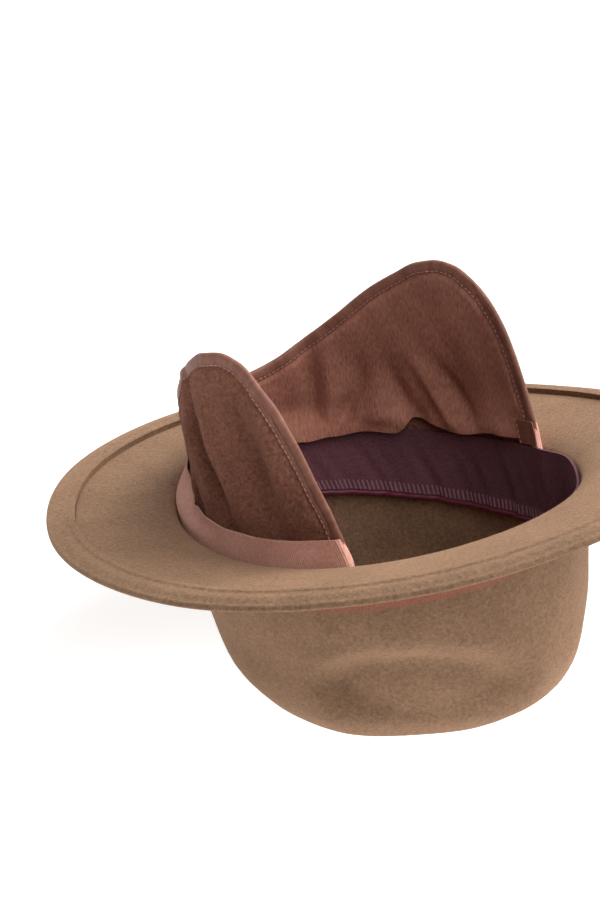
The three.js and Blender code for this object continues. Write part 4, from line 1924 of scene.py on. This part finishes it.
@dataclass
class Studio:
    """Pale floor, soft light and the camera. Lengths are metres, angles degrees."""

    hat: HatShape
    azimuth: float = 39.0
    elevation: float = 24.7
    distance: float = 0.805
    shift_right: float = 0.0348
    shift_up: float = -0.0153
    lens: float = 68.0
    floor_size: float = 8.0
    # The floor's glow: even everywhere, plus a painted pool of light ahead of the hat.
    floor_glow: float = 0.7
    pool_glow: float = 1.0
    pool_radius: float = 0.27
    pool_ahead: float = 0.17
    front: float = 0.0
    backdrop: float = 1.6
    zenith: float = 0.2
    window: float = 4.3
    window_from: tuple[float, float] = (112.0, 47.0)
    ceiling: float = 1.8
    ceiling_from: tuple[float, float] = (24.0, 48.0)
    softness: float = 60.0

    def camera(self) -> None:
        """Places the camera, looking down into the hat from its front left."""
        az, el = math.radians(self.azimuth), math.radians(self.elevation)
        back = Vector((math.sin(az) * math.cos(el), -math.cos(az) * math.cos(el), math.sin(el)))
        right = Vector((math.cos(az), math.sin(az), 0))
        up = back.cross(right)
        target = Vector(self.hat.place(np.zeros(3)).tolist())
        place = target + back * self.distance - right * self.shift_right - up * self.shift_up
        data = bpy.data.cameras.new("photo_camera")
        data.lens = self.lens
        data.sensor_width = 36
        camera = bpy.data.objects.new("photo_camera", data)
        turn = Matrix((right, up, back)).transposed().to_4x4()
        camera.matrix_world = Matrix.Translation(place) @ turn
        bpy.context.scene.collection.objects.link(camera)
        bpy.context.scene.camera = camera

    def light(self, name: str, azimuth: float, elevation: float, spread: float, strength: float) -> None:
        """One wide soft light from far away.

        Args:
            name: The light's name.
            azimuth: Its direction, from the camera's side round to the right.
            elevation: Its height above the horizon.
            spread: How wide it looks from the hat, which softens its shadows.
            strength: Its strength, where pi shows a white surface that faces it as white.
        """
        az, el = math.radians(self.azimuth + azimuth), math.radians(elevation)
        towards = Vector((math.sin(az) * math.cos(el), -math.cos(az) * math.cos(el), math.sin(el)))
        data = bpy.data.lights.new(name, "SUN")
        data.angle = math.radians(spread)
        data.energy = strength
        lamp = bpy.data.objects.new(name, data)
        lamp.location = towards * 2
        lamp.rotation_euler = towards.to_track_quat("Z", "Y").to_euler()
        bpy.context.scene.collection.objects.link(lamp)

    def room(self) -> None:
        """White surroundings: bright behind the hat and overhead, dim on the camera's side."""
        world = bpy.data.worlds.new("white_room")
        world.use_nodes = True
        bpy.context.scene.world = world
        nodes, links = world.node_tree.nodes, world.node_tree.links

        def glow(
            direction: tuple[float, float, float], low: float, least: float, most: float
        ) -> bpy.types.NodeSocket:
            """Light that grows from least to most towards a direction.

            Args:
                direction: Where it is brightest.
                low: Where it starts to grow, as the cosine of the angle from that direction.
                least: Its strength there and beyond.
                most: Its greatest strength.

            Returns:
                The strength's socket.
            """
            facing = nodes.new("ShaderNodeVectorMath")
            facing.operation = "DOT_PRODUCT"
            facing.inputs[1].default_value = direction
            links.new(where.outputs["Generated"], facing.inputs[0])
            ramp = nodes.new("ShaderNodeMapRange")
            sizes = {"From Min": low, "From Max": 1.0, "To Min": least, "To Max": most}
            for name, value in sizes.items():
                ramp.inputs[name].default_value = value
            links.new(facing.outputs["Value"], ramp.inputs["Value"])
            return ramp.outputs[0]

        where = nodes.new("ShaderNodeTexCoord")
        az = math.radians(self.azimuth)
        total = nodes.new("ShaderNodeMath")
        links.new(glow((-math.sin(az), math.cos(az), 0.0), -0.1, self.front, self.backdrop), total.inputs[0])
        links.new(glow((0.0, 0.0, 1.0), 0.3, 0.0, self.zenith), total.inputs[1])
        seen = nodes.new("ShaderNodeLightPath")
        shown = nodes.new("ShaderNodeMix")
        shown.inputs["B"].default_value = 1.0
        links.new(seen.outputs["Is Camera Ray"], shown.inputs["Factor"])
        links.new(total.outputs[0], shown.inputs["A"])
        links.new(shown.outputs[0], nodes["Background"].inputs["Strength"])
        nodes["Background"].inputs["Color"].default_value = (1, 1, 1, 1)

    def floor(self) -> None:
        """A wide pale floor that glows all over, with a painted pool of light brightest on the camera's side
        of the hat.
        """
        half = self.floor_size / 2
        corners = np.array([(-half, -half, 0), (half, -half, 0), (half, half, 0), (-half, half, 0)])
        floor = mesh_object("studio_floor", corners, [(0, 1, 2, 3)])
        paint = Paint("pale_floor")
        paint.shader.inputs["Base Color"].default_value = (0.45, 0.45, 0.445, 1)
        paint.shader.inputs["Roughness"].default_value = 0.9
        paint.shader.inputs["Emission Color"].default_value = (1.0, 0.99, 0.98, 1)
        # Painted pool of light: the floor's emission is strongest in a round patch ahead of the hat, and
        # this glow lights the hat from below.
        az = math.radians(self.azimuth)
        middle = (self.pool_ahead * math.sin(az), -self.pool_ahead * math.cos(az), 0.0)
        away = paint.add("ShaderNodeVectorMath", {0: paint.place(), 1: middle}, operation="DISTANCE")
        brightest = self.floor_glow + self.pool_glow
        sizes = {"From Max": self.pool_radius, "To Min": brightest, "To Max": self.floor_glow}
        links = {"Value": away.outputs["Value"], **sizes}
        pool = paint.add("ShaderNodeMapRange", links, interpolation_type="SMOOTHSTEP")
        paint.links.new(pool.outputs[0], paint.shader.inputs["Emission Strength"])
        floor.data.materials.append(paint.material)

    def build(self) -> None:
        """Sets up the floor, the lights and the camera."""
        scene = bpy.context.scene
        self.room()
        scene.view_settings.view_transform = "Standard"
        self.floor()
        self.light("window", *self.window_from, self.softness, self.window)
        self.light("ceiling", *self.ceiling_from, self.softness, self.ceiling)
        self.camera()


def main() -> None:
    """Builds the hat piece by piece, then the studio."""
    logging.basicConfig(level=logging.INFO, format="%(message)s")
    hat = HatShape()
    flap = FlapShape(hat)
    FeltBody(hat).dress()
    HatBand(hat).dress()
    Sweatband(hat).dress()
    FlapCloth(flap).dress()
    Binding(flap).dress()
    HingeRibbon(flap).dress()
    Studio(hat).build()


if __name__ == "__main__":
    main()
